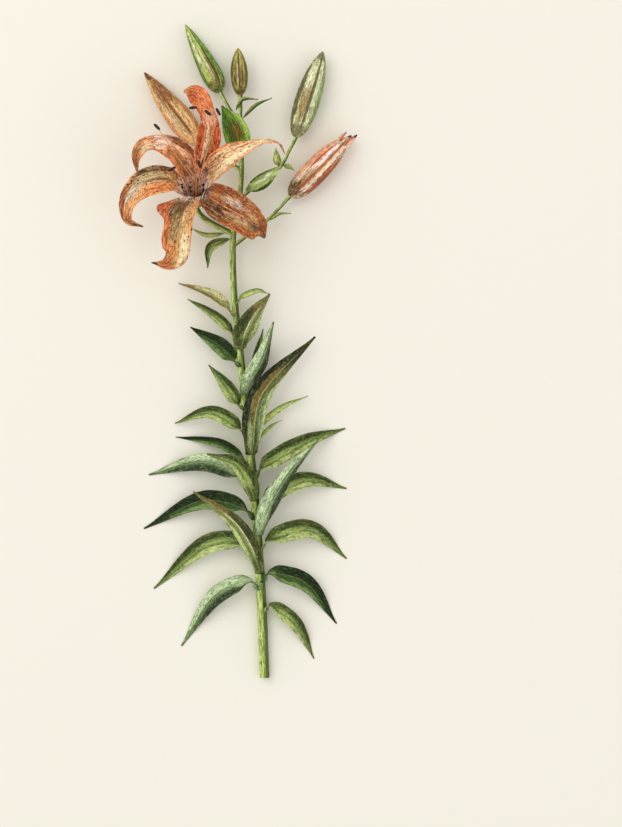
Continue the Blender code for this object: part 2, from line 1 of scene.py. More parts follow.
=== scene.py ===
"""The looks of a cut tiger lily stem that lies on a pale surface, seen from straight above.

Every piece follows the same lines, widths and turns as its plain solid, in millimetres, with
finer faces and with what those solids leave out: thin edges, grooves, veins, ruffled margins,
seams and colour. Two attributes go with each mesh. "grain" is the place on the piece at real
size in millimetres, its z running along the piece, so a texture can be drawn out lengthwise.
"place" is where that is as a share: across from -1 to 1 on a blade, then along from 0 to 1.
"""
import math

import bpy
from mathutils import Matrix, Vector, noise


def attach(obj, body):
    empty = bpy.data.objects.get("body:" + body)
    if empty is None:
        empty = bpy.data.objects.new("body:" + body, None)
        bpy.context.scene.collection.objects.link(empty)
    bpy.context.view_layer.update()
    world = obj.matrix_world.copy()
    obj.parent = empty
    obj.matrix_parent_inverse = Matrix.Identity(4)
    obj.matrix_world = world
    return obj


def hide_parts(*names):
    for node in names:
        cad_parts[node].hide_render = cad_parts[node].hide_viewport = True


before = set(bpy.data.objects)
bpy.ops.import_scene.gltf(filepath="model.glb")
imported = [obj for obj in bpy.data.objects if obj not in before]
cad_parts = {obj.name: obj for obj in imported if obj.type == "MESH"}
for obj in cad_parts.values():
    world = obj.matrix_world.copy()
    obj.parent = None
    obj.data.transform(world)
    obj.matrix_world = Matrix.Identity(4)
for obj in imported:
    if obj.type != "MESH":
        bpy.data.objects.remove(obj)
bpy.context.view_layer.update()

MM = 0.001
UP = Vector((0, 0, 1))
MIDDLE = Vector((4.8, -0.4, 0))  # taken off every place below, so the part's middle is at the origin
GAP = 0.3  # between a piece and what carries it

# How finely each kind of piece is made: steps along it, then across or around it.
STEM_FINE = (420, 32)
STALK_FINE = (90, 18)
FLOWER_STALK_FINE = (60, 28)
LEAF_FINE = (70, 20)
BRACT_FINE = (50, 14)
TEPAL_FINE = (130, 36)
FILAMENT_FINE = (60, 12)
ANTHER_FINE = (28, 28)
PISTIL_FINE = (120, 30)
BUD_FINE = (90, 108)
PARTED_FINE = (40, 10)

# The main stem's centre line, from the cut end to the topmost fork, with its radius there.
STEM = [
    ((24.5, -261, 4.0), 4.0),
    ((22.5, -207, 5.5), 3.9),
    ((18.5, -143, 7.5), 3.7),
    ((13.8, -85, 9.5), 3.4),
    ((8.5, -38, 11.5), 3.1),
    ((4.5, 5, 13), 2.9),
    ((0.8, 40, 13.5), 2.7),
    ((-0.6, 75, 14), 2.6),
    ((0.2, 97, 14), 2.5),
    ((4.3, 118, 13.5), 2.2),
    ((6.3, 140, 13.5), 2.0),
    ((6.2, 160, 14), 1.9),
    ((5.0, 184, 14), 1.7),
]

# Each flower stalk: its centre line from inside the main stem to the bud, and its radius.
STALKS = {
    "bud_1": ([(4.9, 180, 14), (-2, 190.6, 13.5), (-6.9, 198.8, 12), (-10.7, 206.3, 10.2)], 1.2),
    "bud_2": ([(5, 180, 14), (5.5, 192.9, 14.5), (5.3, 203.3, 14)], 1.5),
    "bud_3": (
        [(6, 122, 13.5), (17.8, 131, 13), (29, 138.2, 12.5), (38.5, 147.8, 12), (44.1, 159, 11.5),
         (49.3, 170, 11)],
        1.3,
    ),
    "bud_4": (
        [(-0.4, 83, 14), (11.5, 92, 13), (25, 102.4, 12), (35.3, 112.5, 11.3), (45, 123, 11)],
        1.3,
    ),
    "bud_5": (
        [(6, 143.7, 13.5), (-2.8, 148.5, 13), (-14.8, 152.6, 12), (-21.5, 158, 11.2), (-27.5, 164.5, 11)],
        1.4,
    ),
}
STRAIGHT_END = 3  # a stalk's last stretch, in line with its bud

# Each bud: its tip, its greatest radius, where along it that is, how pointed it ends (2 is
# round) and how far it is turned about its own axis, in degrees.
BUDS = {
    "bud_1": ((-38.8, 260.4, 7.6), 8.8, 0.26, 1.5, 60),
    "bud_2": ((3.5, 240.8, 13), 6.9, 0.45, 1.9, 90),
    "bud_3": ((71.2, 238.8, 8.6), 10.2, 0.42, 2.1, 75),
    "bud_4": ((91.5, 170, 10.6), 10.2, 0.36, 2.8, 80),
    "bud_5": ((-71.4, 222.1, 8.4), 10.6, 0.34, 1.35, 90),
}
BUD_ROUND = 0.96
KEEL_RISE = 0.045  # three broad keels and, between them, three seams, as shares of the radius
SEAM_SINK = 0.03
FINE_KEEL = (0.025, 0.02)  # the sharp ridge on each keel: height and width
FINE_SEAM = (0.045, 0.03)  # and the furrow along each seam: depth and width
BUD_FOOT = 2.2
BUD_SHOULDER = 0.75
BUD_OVERLAP = 0.5  # how far a bud's foot comes down over its stalk
BUD_UNEVEN = 0.06
BUD_LOWEST = 0.02  # a bud's least height above the surface
OPENING_BUD = "bud_4"
# Its parted tips: each one's direction and how far it reaches past the bud, then where they
# start and bend below the bud's tip, and how far out from its axis they start, bend and end.
PARTED_TIPS = ((25, 1.5), (145, 6), (265, 3))
PARTED_ROOT = 11
PARTED_BEND = 4
PARTED_OUT = (4.6, 5.4, 4.4)
PARTED_WIDTH = 8.0

# The open flower: the seat that its parts stand on, and the middle of its throat.
SEAT = Vector((-29.7, 118, 19.5))
THROAT = Vector((-28.7, 128.4, 45))
FLOWER_AXIS = (THROAT - SEAT).normalized()
NECK = (7, 3, 1.2)  # where the stalk bends, ends and widens, by how far below the seat
FLOWER_STALK = [(-1, 93, 14), (-11.6, 98.4, 12.5), (-22, 104.5, 10.5), (-27.5, 109.5, 10)]
FLOWER_STALK_RADIUS = 2.2
NECK_RADII = (2.25, 2.3, 2.4, 2.5, 2.7, 2.9, 3.1, 3.35, 3.6, 4.4, 5.1, 5.35, 5.2)
FUNNEL = (GAP, 12, 22)  # heights above the seat, and there each ring's distance from the axis
INNER = (3.4, 4.8, 7.2)
OUTER = (4.6, 6.8, 11.4)

# Each tepal: inner or outer ring, direction on the seat in degrees, the midrib past the
# throat, the greatest width, how far its face turns to the viewer (0 to 1), and at even steps
# from foot to tip how many degrees it turns about its midrib and its share of that width.
TEPALS = {
    "tepal_up": (
        OUTER, 90,
        [(-24, 147.7, 47), (-18.8, 163.5, 51), (-18, 178, 52), (-23, 193.5, 47), (-32.5, 203.5, 38),
         (-39, 205, 28)],
        19, 0, (0, 0, 0, -10, -30, -45, -45), (0.4, 0.46, 0.82, 1.0, 0.72, 0.86, 0.10)),
    "tepal_upper_left": (
        INNER, 146,
        [(-38, 147.5, 57), (-46, 156.5, 61.5), (-58, 161, 60), (-69.5, 160, 52), (-75.8, 151.5, 43),
         (-75.5, 141, 35)],
        26, 0.4, (0, 0, 0, -5, -30, -45, -45), (0.3, 0.52, 1.0, 0.78, 0.46, 0.38, 0.08)),
    "tepal_left": (
        OUTER, 184,
        [(-51, 132.5, 47), (-68.5, 129.8, 52), (-81.8, 116.5, 49), (-82.4, 102, 42), (-70.6, 97, 37)],
        24, 0.85, (0, 0, 0, 0, 0, 0, 0), (0.4, 0.38, 0.95, 0.98, 0.68, 0.36, 0.05)),
    "tepal_lower": (
        INNER, 268,
        [(-37.8, 107, 58), (-42.2, 87.5, 66), (-44.4, 72.5, 60), (-52, 67, 51), (-63.6, 68.5, 45)],
        24, 0, (0, 0, 0, 0, 0, 0, 5), (0.3, 0.34, 0.92, 1.0, 1.0, 0.55, 0.05)),
    "tepal_lower_right": (
        OUTER, 326,
        [(-7.4, 113, 47), (8.3, 104, 51), (17, 98, 47), (22, 95, 40), (25.2, 88.5, 33)],
        31, 0.3, (0, 0, 0, 0, 0, 0, 0), (0.3, 0.46, 0.92, 1.0, 0.92, 0.68, 0.08)),
    "tepal_upper_right": (
        INNER, 30,
        [(-10, 145, 57), (8.5, 156.3, 61), (23.2, 162.9, 55), (35.7, 162.5, 45), (41.1, 154.6, 35)],
        20, 0, (0, 0, 0, -5, -25, -40, -45), (0.3, 0.50, 0.95, 1.0, 0.70, 0.42, 0.05)),
}
TEPAL_WAVE = (1.4, 2.0, 2.0, 0.3)  # as blade takes it
TEPAL_FOOT = {INNER: 5.6, OUTER: 7.4}  # width of a tepal where it stands on the seat

# A flap of the lower tepal's margin: the edge it is on, the share of the length where it is
# widest, its spread along the tepal, its extra width and how far its edge drops.
FLAPS = {"tepal_lower": (1, 0.34, 0.10, 17.5, 7)}
NO_FLAP = (1, 0.5, 1, 0, 0)

# Each stamen: direction on the seat in degrees, the anther's place, and the way it lies.
STAMENS = [
    (150, (-57.9, 172.3, 74), (0.7, -0.7, 0.1)),
    (90, (-30.2, 187.7, 68), (1, 0.1, 0)),
    (30, (-18.5, 183.6, 70), (0.8, -0.6, 0)),
    (-30, (-10.6, 184.8, 66), (0.5, -0.85, 0)),
    (-90, (-24.4, 142.1, 90), (0.3, -1, 0.2)),
    (210, (-45.6, 138.6, 86), (0.9, 0.5, 0)),
]
STAMEN_RING = 2.35
FILAMENT_RADIUS = 0.45
BUNDLE_TOP = 18  # the filaments stay side by side up to this height above the seat
PARTING = (6, 2.0)  # where they part: how far past the throat, and from the flower's axis
FILAMENT_BOW = 4
ANTHER = (3.3, 1.2, 0.95)  # half its length, width and height
ANTHER_FURROW = (0.28, 0.16)  # the furrow between its two lobes: depth and width
ANTHER_BOW = 0.5  # how far its ends droop
OVARY = [(0.3, 1.15), (3, 1.5), (12, 1.45), (17, 0.75)]  # up the flower's axis: height and radius
STIGMA = Vector((-35.5, 143, 93))
STIGMA_RADIUS = 2.3
STIGMA_TOP = ((0.75, 0.9), (0.4, 1.0), (0.12, 0.5))  # rings over its end: size and rise
STYLE_STRAIGHT = 12  # how far past the throat the style runs along the flower's axis

# Bracts and small leaves among the flower stalks: base, middle and tip of the midrib,
# greatest width, and the way the upper face looks at the base.
BRACTS = {
    "bract_1": ((5.5, 160, 16.5), (1.6, 175, 23), (-9.1, 194.3, 18), 21, (0, 0, 1)),
    "bract_2": ((2, 191.5, 14.2), (7.7, 199.5, 20.5), (19.5, 199.2, 19), 3.4, (0, 0, 1)),
    "bract_3": ((7.3, 184.7, 15.1), (18, 194.7, 20), (30.6, 200.7, 16), 3.2, (0, 0, 1)),
    "bract_4": ((10, 127.1, 15.3), (23.5, 135.2, 20), (39, 147.5, 15.8), 13, (0, -0.4, 1)),
    "bract_5": ((36.1, 147, 13.6), (34.4, 153, 18), (33.8, 160.5, 19), 6.5, (0, 0, 1)),
    "bract_6": ((40.1, 147.5, 12.7), (45.0, 145.6, 17), (48.2, 143, 17), 4.4, (0, 0, 1)),
    "bract_7": ((29.1, 103.9, 13.2), (37, 108.8, 17.5), (45.9, 108.9, 16), 2.6, (0, 0, 1)),
    "bract_8": ((-7.6, 93.2, 14.4), (-21, 91.6, 17.5), (-33.6, 97.0, 15), 4.2, (0, 0, 1)),
    "bract_9": ((-3.2, 89, 15.3), (-18, 82, 17), (-20.8, 65.8, 10), 8, (0, 0, 1)),
}

# Leaves of the stem: height of the base, direction it leaves the stem (0 to the right, 90 up
# towards the viewer), middle and tip of the midrib, greatest width, how far the upper face
# turns up, from 0 for edge on to 1 for flat, and its skin. A tip below the surface lies on it.
LEAVES = [
    (38, 40, (17.5, 47.2, 16), (28.1, 45.7, 8), 5.5, 0.8, "light"),
    (28, 140, (-15, 43.5, 16), (-44.5, 54.1, 3), 8.5, 0.8, "tan"),
    (10, 138, (-14, 26.8, 17), (-36.9, 41.3, 8), 9, 0.8, "mid"),
    (2, 66, (15.3, 24.0, 24), (29.1, 44.9, 20), 21, 0, "olive"),
    (-12, 147, (-9.6, 2.7, 15.5), (-34.5, 18.9, 8), 14, 0.9, "dark"),
    (-28, 5, (19.8, -3.5, 12), (23.5, 17.5, 10), 12, 0.5, "mid"),
    (-34, 62, (22.7, -8, 21), (32.0, 22.8, 20), 17, 0, "blue"),
    (-46, 150, (-5.8, -28.2, 13), (-20, -11.3, 10), 12, 0.9, "mid"),
    (-68, 135, (-16.5, -49.5, 18), (-47.1, -57.8, 1), 13, 0.8, "mid"),
    (-69, 30, (35.4, -47.2, 9.5), (59.4, -35.8, 4), 6, 0.8, "light"),
    (-76, 30, (29.9, -60.5, 9), (38.7, -55, 5), 4.5, 0.6, "light"),
    (-82, 72, (21.7, -36.7, 26), (65, 11.2, 10), 20, 0, "long"),
    (-90, 160, (-9.5, -74.5, 11), (-46.7, -68.8, -7), 8, 0.85, "dark"),
    (-102, 40, (54, -74, 14), (89, -62, -7), 15, 0.9, "mid"),
    (-106, 168, (-22, -89, 12), (-68, -99, -7), 16, 0.9, "blue"),
    (-119, 96, (4, -91, 27), (-21, -82, 22), 15, 0, "mid"),
    (-126, 22, (56, -103, 12.5), (90, -110, -7), 15, 0.9, "mid"),
    (-134, 145, (-22, -119, 12), (-72, -142, -7), 16, 0.9, "dark"),
    (-147, 66, (40, -104, 28), (68, -70, 18), 17, 0, "blue"),
    (-158, 15, (60, -142, 11), (90, -166, -7), 16, 0.9, "mid"),
    (-160, 170, (-18, -153, 10), (-64, -190, -7), 16, 0.9, "mid"),
    (-177, 96, (3, -139, 27), (-32, -112, 16), 15, 0, "olive"),
    (-184, 35, (56, -184, 10), (82, -218, -7), 15, 0.9, "dark"),
    (-190, 145, (-12, -194, 9), (-42, -236, -7), 15, 0.9, "blue"),
    (-208, 35, (48, -216, 9), (64, -246, -7), 12, 0.9, "mid"),
]
LEAF_SHAPE = (0.52, 0.93, 1.0, 0.76, 0.40, 0.08)
BRACT_SHAPE = (0.20, 0.78, 1.0, 0.80, 0.42, 0.08)
BROAD_BRACT = {"bract_1": (0.55, 0.96, 1.0, 0.80, 0.42, 0.08)}  # broad from its base
LEAF_RISE = math.radians(35)  # angle between the stem and a leaf where it leaves it
LEAF_START = 0.10  # the share of its reach over which a leaf keeps to that way
LEAF_ROOT = (1.2, 0.5)  # how far its foot is drawn back along it, and in to the stem
LEAF_WAVE = (0.6, 1.5, 1.0, 0)
LEAF_FOLD = 0.12

BLADE_THICK = 0.8
THINNED = 0.75  # the share of the thickness that is gone at a blade's margins and tip
SETTLE = 4  # height from which a blade eases down to lie on the surface
UNEVEN = 0.03  # share by which a blade's width wanders
FOLD_ROUND = 0.006  # how softly a blade's fold turns over its midrib
LIPS = (0.4, 2.2)  # beside a blade's furrow: their height by its depth, their place by its half-width
RUFFLE_PACE = 26  # how fast the small folds along a blade's margins follow each other
TEPAL_VEINS = 42  # how close the fine veins of a blade are
LEAF_VEINS = 50


def rgb(red, green, blue):
    """A colour given as it shows on a screen, 0 to 255, in the linear values that shaders take."""
    shown = [c / 255 for c in (red, green, blue)]
    return (*(((c + 0.055) / 1.055) ** 2.4 if c > 0.04 else c / 12.92 for c in shown), 1.0)


def mixed(a, b, start, end, t):
    """The point between a and b, reached at start and at end, for the value t."""
    share = (t - start) / (end - start)
    return a * (1 - share) + b * share


def smooth_path(points, steps):
    """Even steps along a smooth curve through the points (a centripetal spline)."""
    p = [Vector(q) for q in points]
    p = [2 * p[0] - p[1]] + p + [2 * p[-1] - p[-2]]
    knots = [0.0]
    for a, b in zip(p, p[1:]):
        knots.append(knots[-1] + math.sqrt((b - a).length))
    fine = 24
    dense = []
    for i in range(1, len(p) - 2):
        p0, p1, p2, p3 = p[i - 1:i + 3]
        k0, k1, k2, k3 = knots[i - 1:i + 3]
        for s in range(fine):
            t = k1 + (k2 - k1) * s / fine
            a1 = mixed(p0, p1, k0, k1, t)
            a2 = mixed(p1, p2, k1, k2, t)
            a3 = mixed(p2, p3, k2, k3, t)
            b1 = mixed(a1, a2, k0, k2, t)
            b2 = mixed(a2, a3, k1, k3, t)
            dense.append(mixed(b1, b2, k1, k2, t))
    dense.append(p[-2])
    lengths = [0.0]
    for a, b in zip(dense, dense[1:]):
        lengths.append(lengths[-1] + (b - a).length)
    path = []
    k = 0
    for step in range(steps + 1):
        wanted = lengths[-1] * step / steps
        while k < len(dense) - 2 and lengths[k + 1] < wanted:
            k += 1
        path.append(mixed(dense[k], dense[k + 1], lengths[k], lengths[k + 1], wanted))
    return path


def profile(values, share):
    """A smooth value at a share of the way, from values at even steps."""
    last = len(values) - 1
    i = min(int(share * last), last - 1)
    t = share * last - i
    a = values[max(i - 1, 0)]
    b = values[i]
    c = values[i + 1]
    d = values[min(i + 2, last)]
    bent = (2 * a - 5 * b + 4 * c - d) * t * t + (3 * b - a - 3 * c + d) * t ** 3
    return 0.5 * (2 * b + (c - a) * t + bent)


def eased(share):
    """0 to 1 with a soft start and end."""
    share = min(max(share, 0.0), 1.0)
    return share * share * (3 - 2 * share)


def frames(path, face):
    """At each point of a path: the ways along it, across it and out of its face, with no twist."""
    result = []
    out = Vector(face)
    for i in range(len(path)):
        along = (path[min(i + 1, len(path) - 1)] - path[max(i - 1, 0)]).normalized()
        out = (out - along * out.dot(along)).normalized()
        result.append((along, along.cross(out), out))
    return result


def turned(across, out, angle):
    """The ways across and out of a face, turned about the way along it."""
    c = math.cos(angle)
    s = math.sin(angle)
    return across * c - out * s, out * c + across * s


def to_viewer(step):
    """The turn about a path that brings a blade's face as far up as it goes."""
    _, across, out = step
    return math.atan2(across.z, out.z)


def settled(height):
    """A height of a blade's middle above the surface, eased where it comes down to lie on it."""
    lowest = BLADE_THICK / 2
    over = height - lowest
    if over >= SETTLE:
        return height
    return lowest + max(over + SETTLE, 0.0) ** 2 / (4 * SETTLE)


def ways_around(along):
    """Two ways square to a direction; with it they make a right-handed set."""
    across = UP.cross(along).normalized()
    return across, along.cross(across)


def rough(x, y, z=0.0):
    """A smooth random number from -1 to 1 at a point."""
    return noise.noise(Vector((x, y, z)))


def placed(name, data):
    """A new object in the scene."""
    thing = bpy.data.objects.new(name, data)
    bpy.context.scene.collection.objects.link(thing)
    return thing


class Shape:
    """A mesh in the making: its points, what each knows of its place, and its faces."""

    def __init__(self):
        self.points = []
        self.grain = []
        self.place = []
        self.faces = []

    def add(self, point, grain, place):
        """Adds a point in millimetres and returns its number."""
        self.points.append((point - MIDDLE) * MM)
        self.grain.append(grain)
        self.place.append(place)
        return len(self.points) - 1

    def grid(self, rows, loop=False):
        """Joins rows of point numbers by faces; a loop closes each row on itself."""
        for low, high in zip(rows, rows[1:]):
            count = len(low)
            for i in range(count if loop else count - 1):
                j = (i + 1) % count
                self.faces.append((low[i], low[j], high[j], high[i]))

    def closed(self, rows):
        """Joins rings of point numbers by faces, with one face over each end."""
        self.grid(rows, loop=True)
        self.faces.append(tuple(reversed(rows[0])))
        self.faces.append(tuple(rows[-1]))

    def tube(self, path, radius_at, around, seed=0.0):
        """A closed tube, with its radius for a share of its length and an angle; seed shifts its grain."""
        rows = []
        travelled = seed
        for i, (centre, (_, across, out)) in enumerate(zip(path, frames(path, UP))):
            if i:
                travelled += (centre - path[i - 1]).length
            share = i / (len(path) - 1)
            row = []
            for k in range(around):
                angle = 2 * math.pi * k / around
                c = math.cos(angle)
                s = math.sin(angle)
                size = radius_at(share, angle)
                row.append(self.add(
                    centre + (across * c + out * s) * size, (size * c, size * s, travelled), (c, share, s)))
            rows.append(row)
        self.closed(rows)
        return rows

    def body(self, fine, point_at):
        """A closed body; point_at takes how far it is from end to end, as half a turn, and an angle."""
        turns, around = fine
        self.closed([
            [self.add(*point_at(math.pi * i / turns, 2 * math.pi * k / around)) for k in range(around)]
            for i in range(1, turns)])

    def make(self, node, slot, *skins):
        """Makes the piece that stands for a node, with its skins, and returns it."""
        mesh = bpy.data.meshes.new(node + "_skin")
        mesh.from_pydata(self.points, [], self.faces)
        for key, values in (("grain", self.grain), ("place", self.place)):
            kept = mesh.attributes.new(key, "FLOAT_VECTOR", "POINT")
            kept.data.foreach_set("vector", [number for value in values for number in value])
        for skin in skins:
            mesh.materials.append(skin)
        mesh.shade_smooth()
        thing = placed(node + "_skin", mesh)
        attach(thing, "root")
        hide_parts(node)
        return thing


def blade(name, slot, path, face, columns, half_width, curl, roll, skins, fold=0.0, wave=(0, 0, 0, 0),
          flap=NO_FLAP, groove=(0, 0.1), ruffle=0.0, seed=0.0, painted_shade_side=1):
    """A thin blade along a path, bent across by curl and fold, waved, grooved and ruffled.

    half_width, curl and roll give a value for a share of the length. wave is its height at the
    edge, the number of waves, how far the left edge runs behind the right one, and the share
    of the length where it begins. groove is the depth and half-width of the furrow along the
    midrib, and ruffle the height of the small folds along the margins.
    """
    rows = len(path) - 1
    steps = frames(path, face)
    height, count, lag, begin = wave
    flap_edge, flap_place, flap_spread, flap_width, flap_drop = flap
    depth, furrow = groove
    lip_height, lip_place = LIPS
    step_length = (path[1] - path[0]).length
    shape = Shape()
    grid = []
    weights = []
    for row in range(rows + 1):
        share = row / rows
        across, out = turned(steps[row][1], steps[row][2], roll(share))
        width = half_width(share) * (1 + UNEVEN * rough(share * 9, seed))
        bend = curl(share)
        inside = eased(5 * share) * eased(5 - 5 * share)
        numbers = []
        for column in range(columns + 1):
            u = 2 * column / columns - 1
            sideways = width * math.sin(bend * u) / bend
            lift = width * (1 - math.cos(bend * u)) / bend + fold * width * math.sqrt(u * u + FOLD_ROUND)
            side_lag = lag if u < 0 else 0.0
            edge = height * u * u * eased(4 * (share - begin)) * eased(4 - 4 * share)
            lift += edge * math.sin(2 * math.pi * count * share + side_lag)
            on_flap = max(u * flap_edge, 0) ** 1.5 * math.exp(-((share - flap_place) / flap_spread) ** 2)
            sideways += flap_edge * flap_width * on_flap
            lift -= flap_drop * on_flap
            lift -= depth * math.exp(-(u / furrow) ** 2) * inside
            lift += lip_height * depth * math.exp(-((abs(u) - lip_place * furrow) / furrow) ** 2) * inside
            lift += ruffle * abs(u) ** 5 * inside * rough(share * RUFFLE_PACE, u + seed, 3)
            point = path[row] + across * sideways + out * lift
            point.z = settled(point.z)
            grain = (sideways, lift * 0.3, row * step_length + seed * 100)
            # The sign of u in place is set so that 1 across is the margin that takes a leaf's painted shade.
            numbers.append(shape.add(point, grain, (u * painted_shade_side, share, seed)))
            weights.append(1 - THINNED * max(abs(u) ** 6, share ** 20))
        grid.append(numbers)
    shape.grid(grid)
    thing = shape.make(name, slot, *skins)
    group = thing.vertex_groups.new(name="thickness")
    for number, weight in enumerate(weights):
        group.add([number], weight, "REPLACE")
    solid = thing.modifiers.new("thickness", "SOLIDIFY")
    solid.thickness = BLADE_THICK * MM
    solid.offset = 0
    solid.vertex_group = "thickness"
    if len(skins) > 1:
        solid.material_offset = 1
    return thing


class Skin:
    """Builds the nodes of one material, with short calls for what all of them use.

    A colour is what feeds it, or red, green and blue as they show on a screen, from 0 to 255.
    A value, its low and its high in brackets stand for a step, where factors are given.
    """

    def __init__(self, name):
        self.material = bpy.data.materials.new(name)
        self.material.use_nodes = True
        self.tree = self.material.node_tree
        self.shader = self.tree.nodes["Principled BSDF"]

    def node(self, kind, inputs, **settings):
        """Adds a node; inputs maps a socket to a value or to the socket that feeds it."""
        made = self.tree.nodes.new(kind)
        for key, value in settings.items():
            setattr(made, key, value)
        for key, value in inputs.items():
            self.put(made.inputs[key], value)
        return made

    def put(self, socket, value):
        """Sets a socket's value, or links what feeds it."""
        if isinstance(value, bpy.types.NodeSocket):
            self.tree.links.new(value, socket)
        else:
            socket.default_value = rgb(*value) if socket.type == "RGBA" else value

    def attribute(self, name):
        """A mesh attribute as a vector."""
        return self.node("ShaderNodeAttribute", {}, attribute_name=name).outputs["Vector"]

    def parts(self, vector):
        """The three numbers of a vector."""
        return self.node("ShaderNodeSeparateXYZ", {0: vector}).outputs

    def calc(self, operation, a, b=0.0, c=0.0):
        """One of the node's sums, with one to three values."""
        return self.node("ShaderNodeMath", {0: a, 1: b, 2: c}, operation=operation).outputs[0]

    def plus(self, a, b):
        """The sum of two values."""
        return self.calc("ADD", a, b)

    def minus(self, a, b):
        """The difference of two values."""
        return self.calc("SUBTRACT", a, b)

    def times(self, *values):
        """The product of several factors."""
        result, *others = [self.step(*value) if isinstance(value, tuple) else value for value in values]
        for value in others:
            result = self.calc("MULTIPLY", result, value)
        return result

    def times_plus(self, a, b, c):
        """The product of two values, plus a third."""
        return self.calc("MULTIPLY_ADD", a, b, c)

    def step(self, value, low, high, top=1.0):
        """0 at low to top at high with soft ends; high may be the lower one."""
        flipped = low > high
        inputs = {"Value": value, 1: min(low, high), 2: max(low, high), 3: top if flipped else 0.0,
                  4: 0.0 if flipped else top}
        return self.node("ShaderNodeMapRange", inputs, interpolation_type="SMOOTHSTEP").outputs[0]

    def mix(self, factor, a, b):
        """Goes from one colour to another by a factor."""
        return self.node("ShaderNodeMix", {0: self.times(factor), 6: a, 7: b}, data_type="RGBA").outputs[2]

    def layers(self, colour, *layers):
        """Lays tones over a colour, each given with factors whose product is how much it shows."""
        for tone, *factors in layers:
            colour = self.mix(self.times(*factors), colour, tone)
        return colour

    def scaled(self, grain, across, along, offset):
        """The grain in steps of a pattern, given how many there are to a millimetre each way."""
        inputs = {0: grain, 1: (across, across, along), 2: (offset, offset, offset)}
        return self.node("ShaderNodeVectorMath", inputs, operation="MULTIPLY_ADD").outputs[0]

    def noises(self, *kinds):
        """The mesh's grain, and for each kind a smooth noise from 0 to 1.

        A kind is its steps to a millimetre across and along the grain, its detail, its
        roughness and its offset.
        """
        grain = self.attribute("grain")
        made = [grain]
        for across, along, detail, roughness, offset in kinds:
            inputs = {"Vector": self.scaled(grain, across, along, offset), "Scale": 1.0, "Detail": detail,
                      "Roughness": roughness}
            made.append(self.node("ShaderNodeTexNoise", inputs).outputs[0])
        return made

    def dots(self, grain, across, along, size, offset=0.0):
        """1 inside scattered dots of uneven size, 0 between them."""
        cells = self.node("ShaderNodeTexVoronoi", {
            "Vector": self.scaled(grain, across, along, offset), "Scale": 1.0, "Randomness": 1.0})
        uneven = self.parts(cells.outputs["Color"])[0]
        reach = self.times(uneven, size)
        inner = self.minus(reach, cells.outputs["Distance"])
        return self.step(inner, 0.0, 0.06)

    def ground(self, base, streaks, most, shade):
        """A base colour with darker streaks."""
        return self.mix((streaks, 0.36, 0.64, most), base, [c * shade for c in base])

    def strokes(self, colour, strokes, u, share, broad, streaks, cloud, grit):
        """Lays soft strokes of colour over a colour, which break up into dots at their edges."""
        ragged = self.times_plus(cloud, grit, self.plus(broad, streaks))
        ragged = self.minus(ragged, 1 + grit / 2)
        for tone, at_u, at_share, wide, long, strength in strokes:
            across = self.times(self.minus(u, at_u), 1 / wide)
            along = self.times(self.minus(share, at_share), 1 / long)
            far = self.times_plus(across, across, self.times(along, along))
            far = self.times_plus(ragged, 3.0, far)
            colour = self.mix((far, 1.5, 0.3, strength), colour, tone)
        return colour

    def worked(self, colour, fibres, cloud, low=0.72, high=1.5, saturation=1.0):
        """A colour with fine light and dark strokes and dots worked into it."""
        tone = self.step(self.plus(fibres, cloud), 0.82, 1.16)
        value = self.times_plus(tone, high - low, low)
        inputs = {"Saturation": saturation, "Value": value, "Color": colour}
        return self.node("ShaderNodeHueSaturation", inputs).outputs[0]

    def veined(self, u, count, share, fibres, streaks):
        """The height of fine fibres, with veins between them along a blade."""
        veins = self.calc("SINE", self.times(u, count))
        return self.times_plus(veins, share, self.plus(fibres, streaks))

    def finish(self, colour, grit, spread, smoothest, height, bump, gloss):
        """Feeds the shader and returns the material.

        Roughness goes up from its smoothest by a noise, grit, times its spread, and bump is
        the real size of the height in metres.
        """
        self.put(self.shader.inputs["Base Color"], colour)
        self.put(self.shader.inputs["Roughness"], self.times_plus(grit, spread, smoothest))
        self.put(self.shader.inputs["Specular IOR Level"], gloss)
        raised = self.node("ShaderNodeBump", {"Height": height, "Distance": bump, "Strength": 1.0})
        self.put(self.shader.inputs["Normal"], raised.outputs[0])
        return self.material
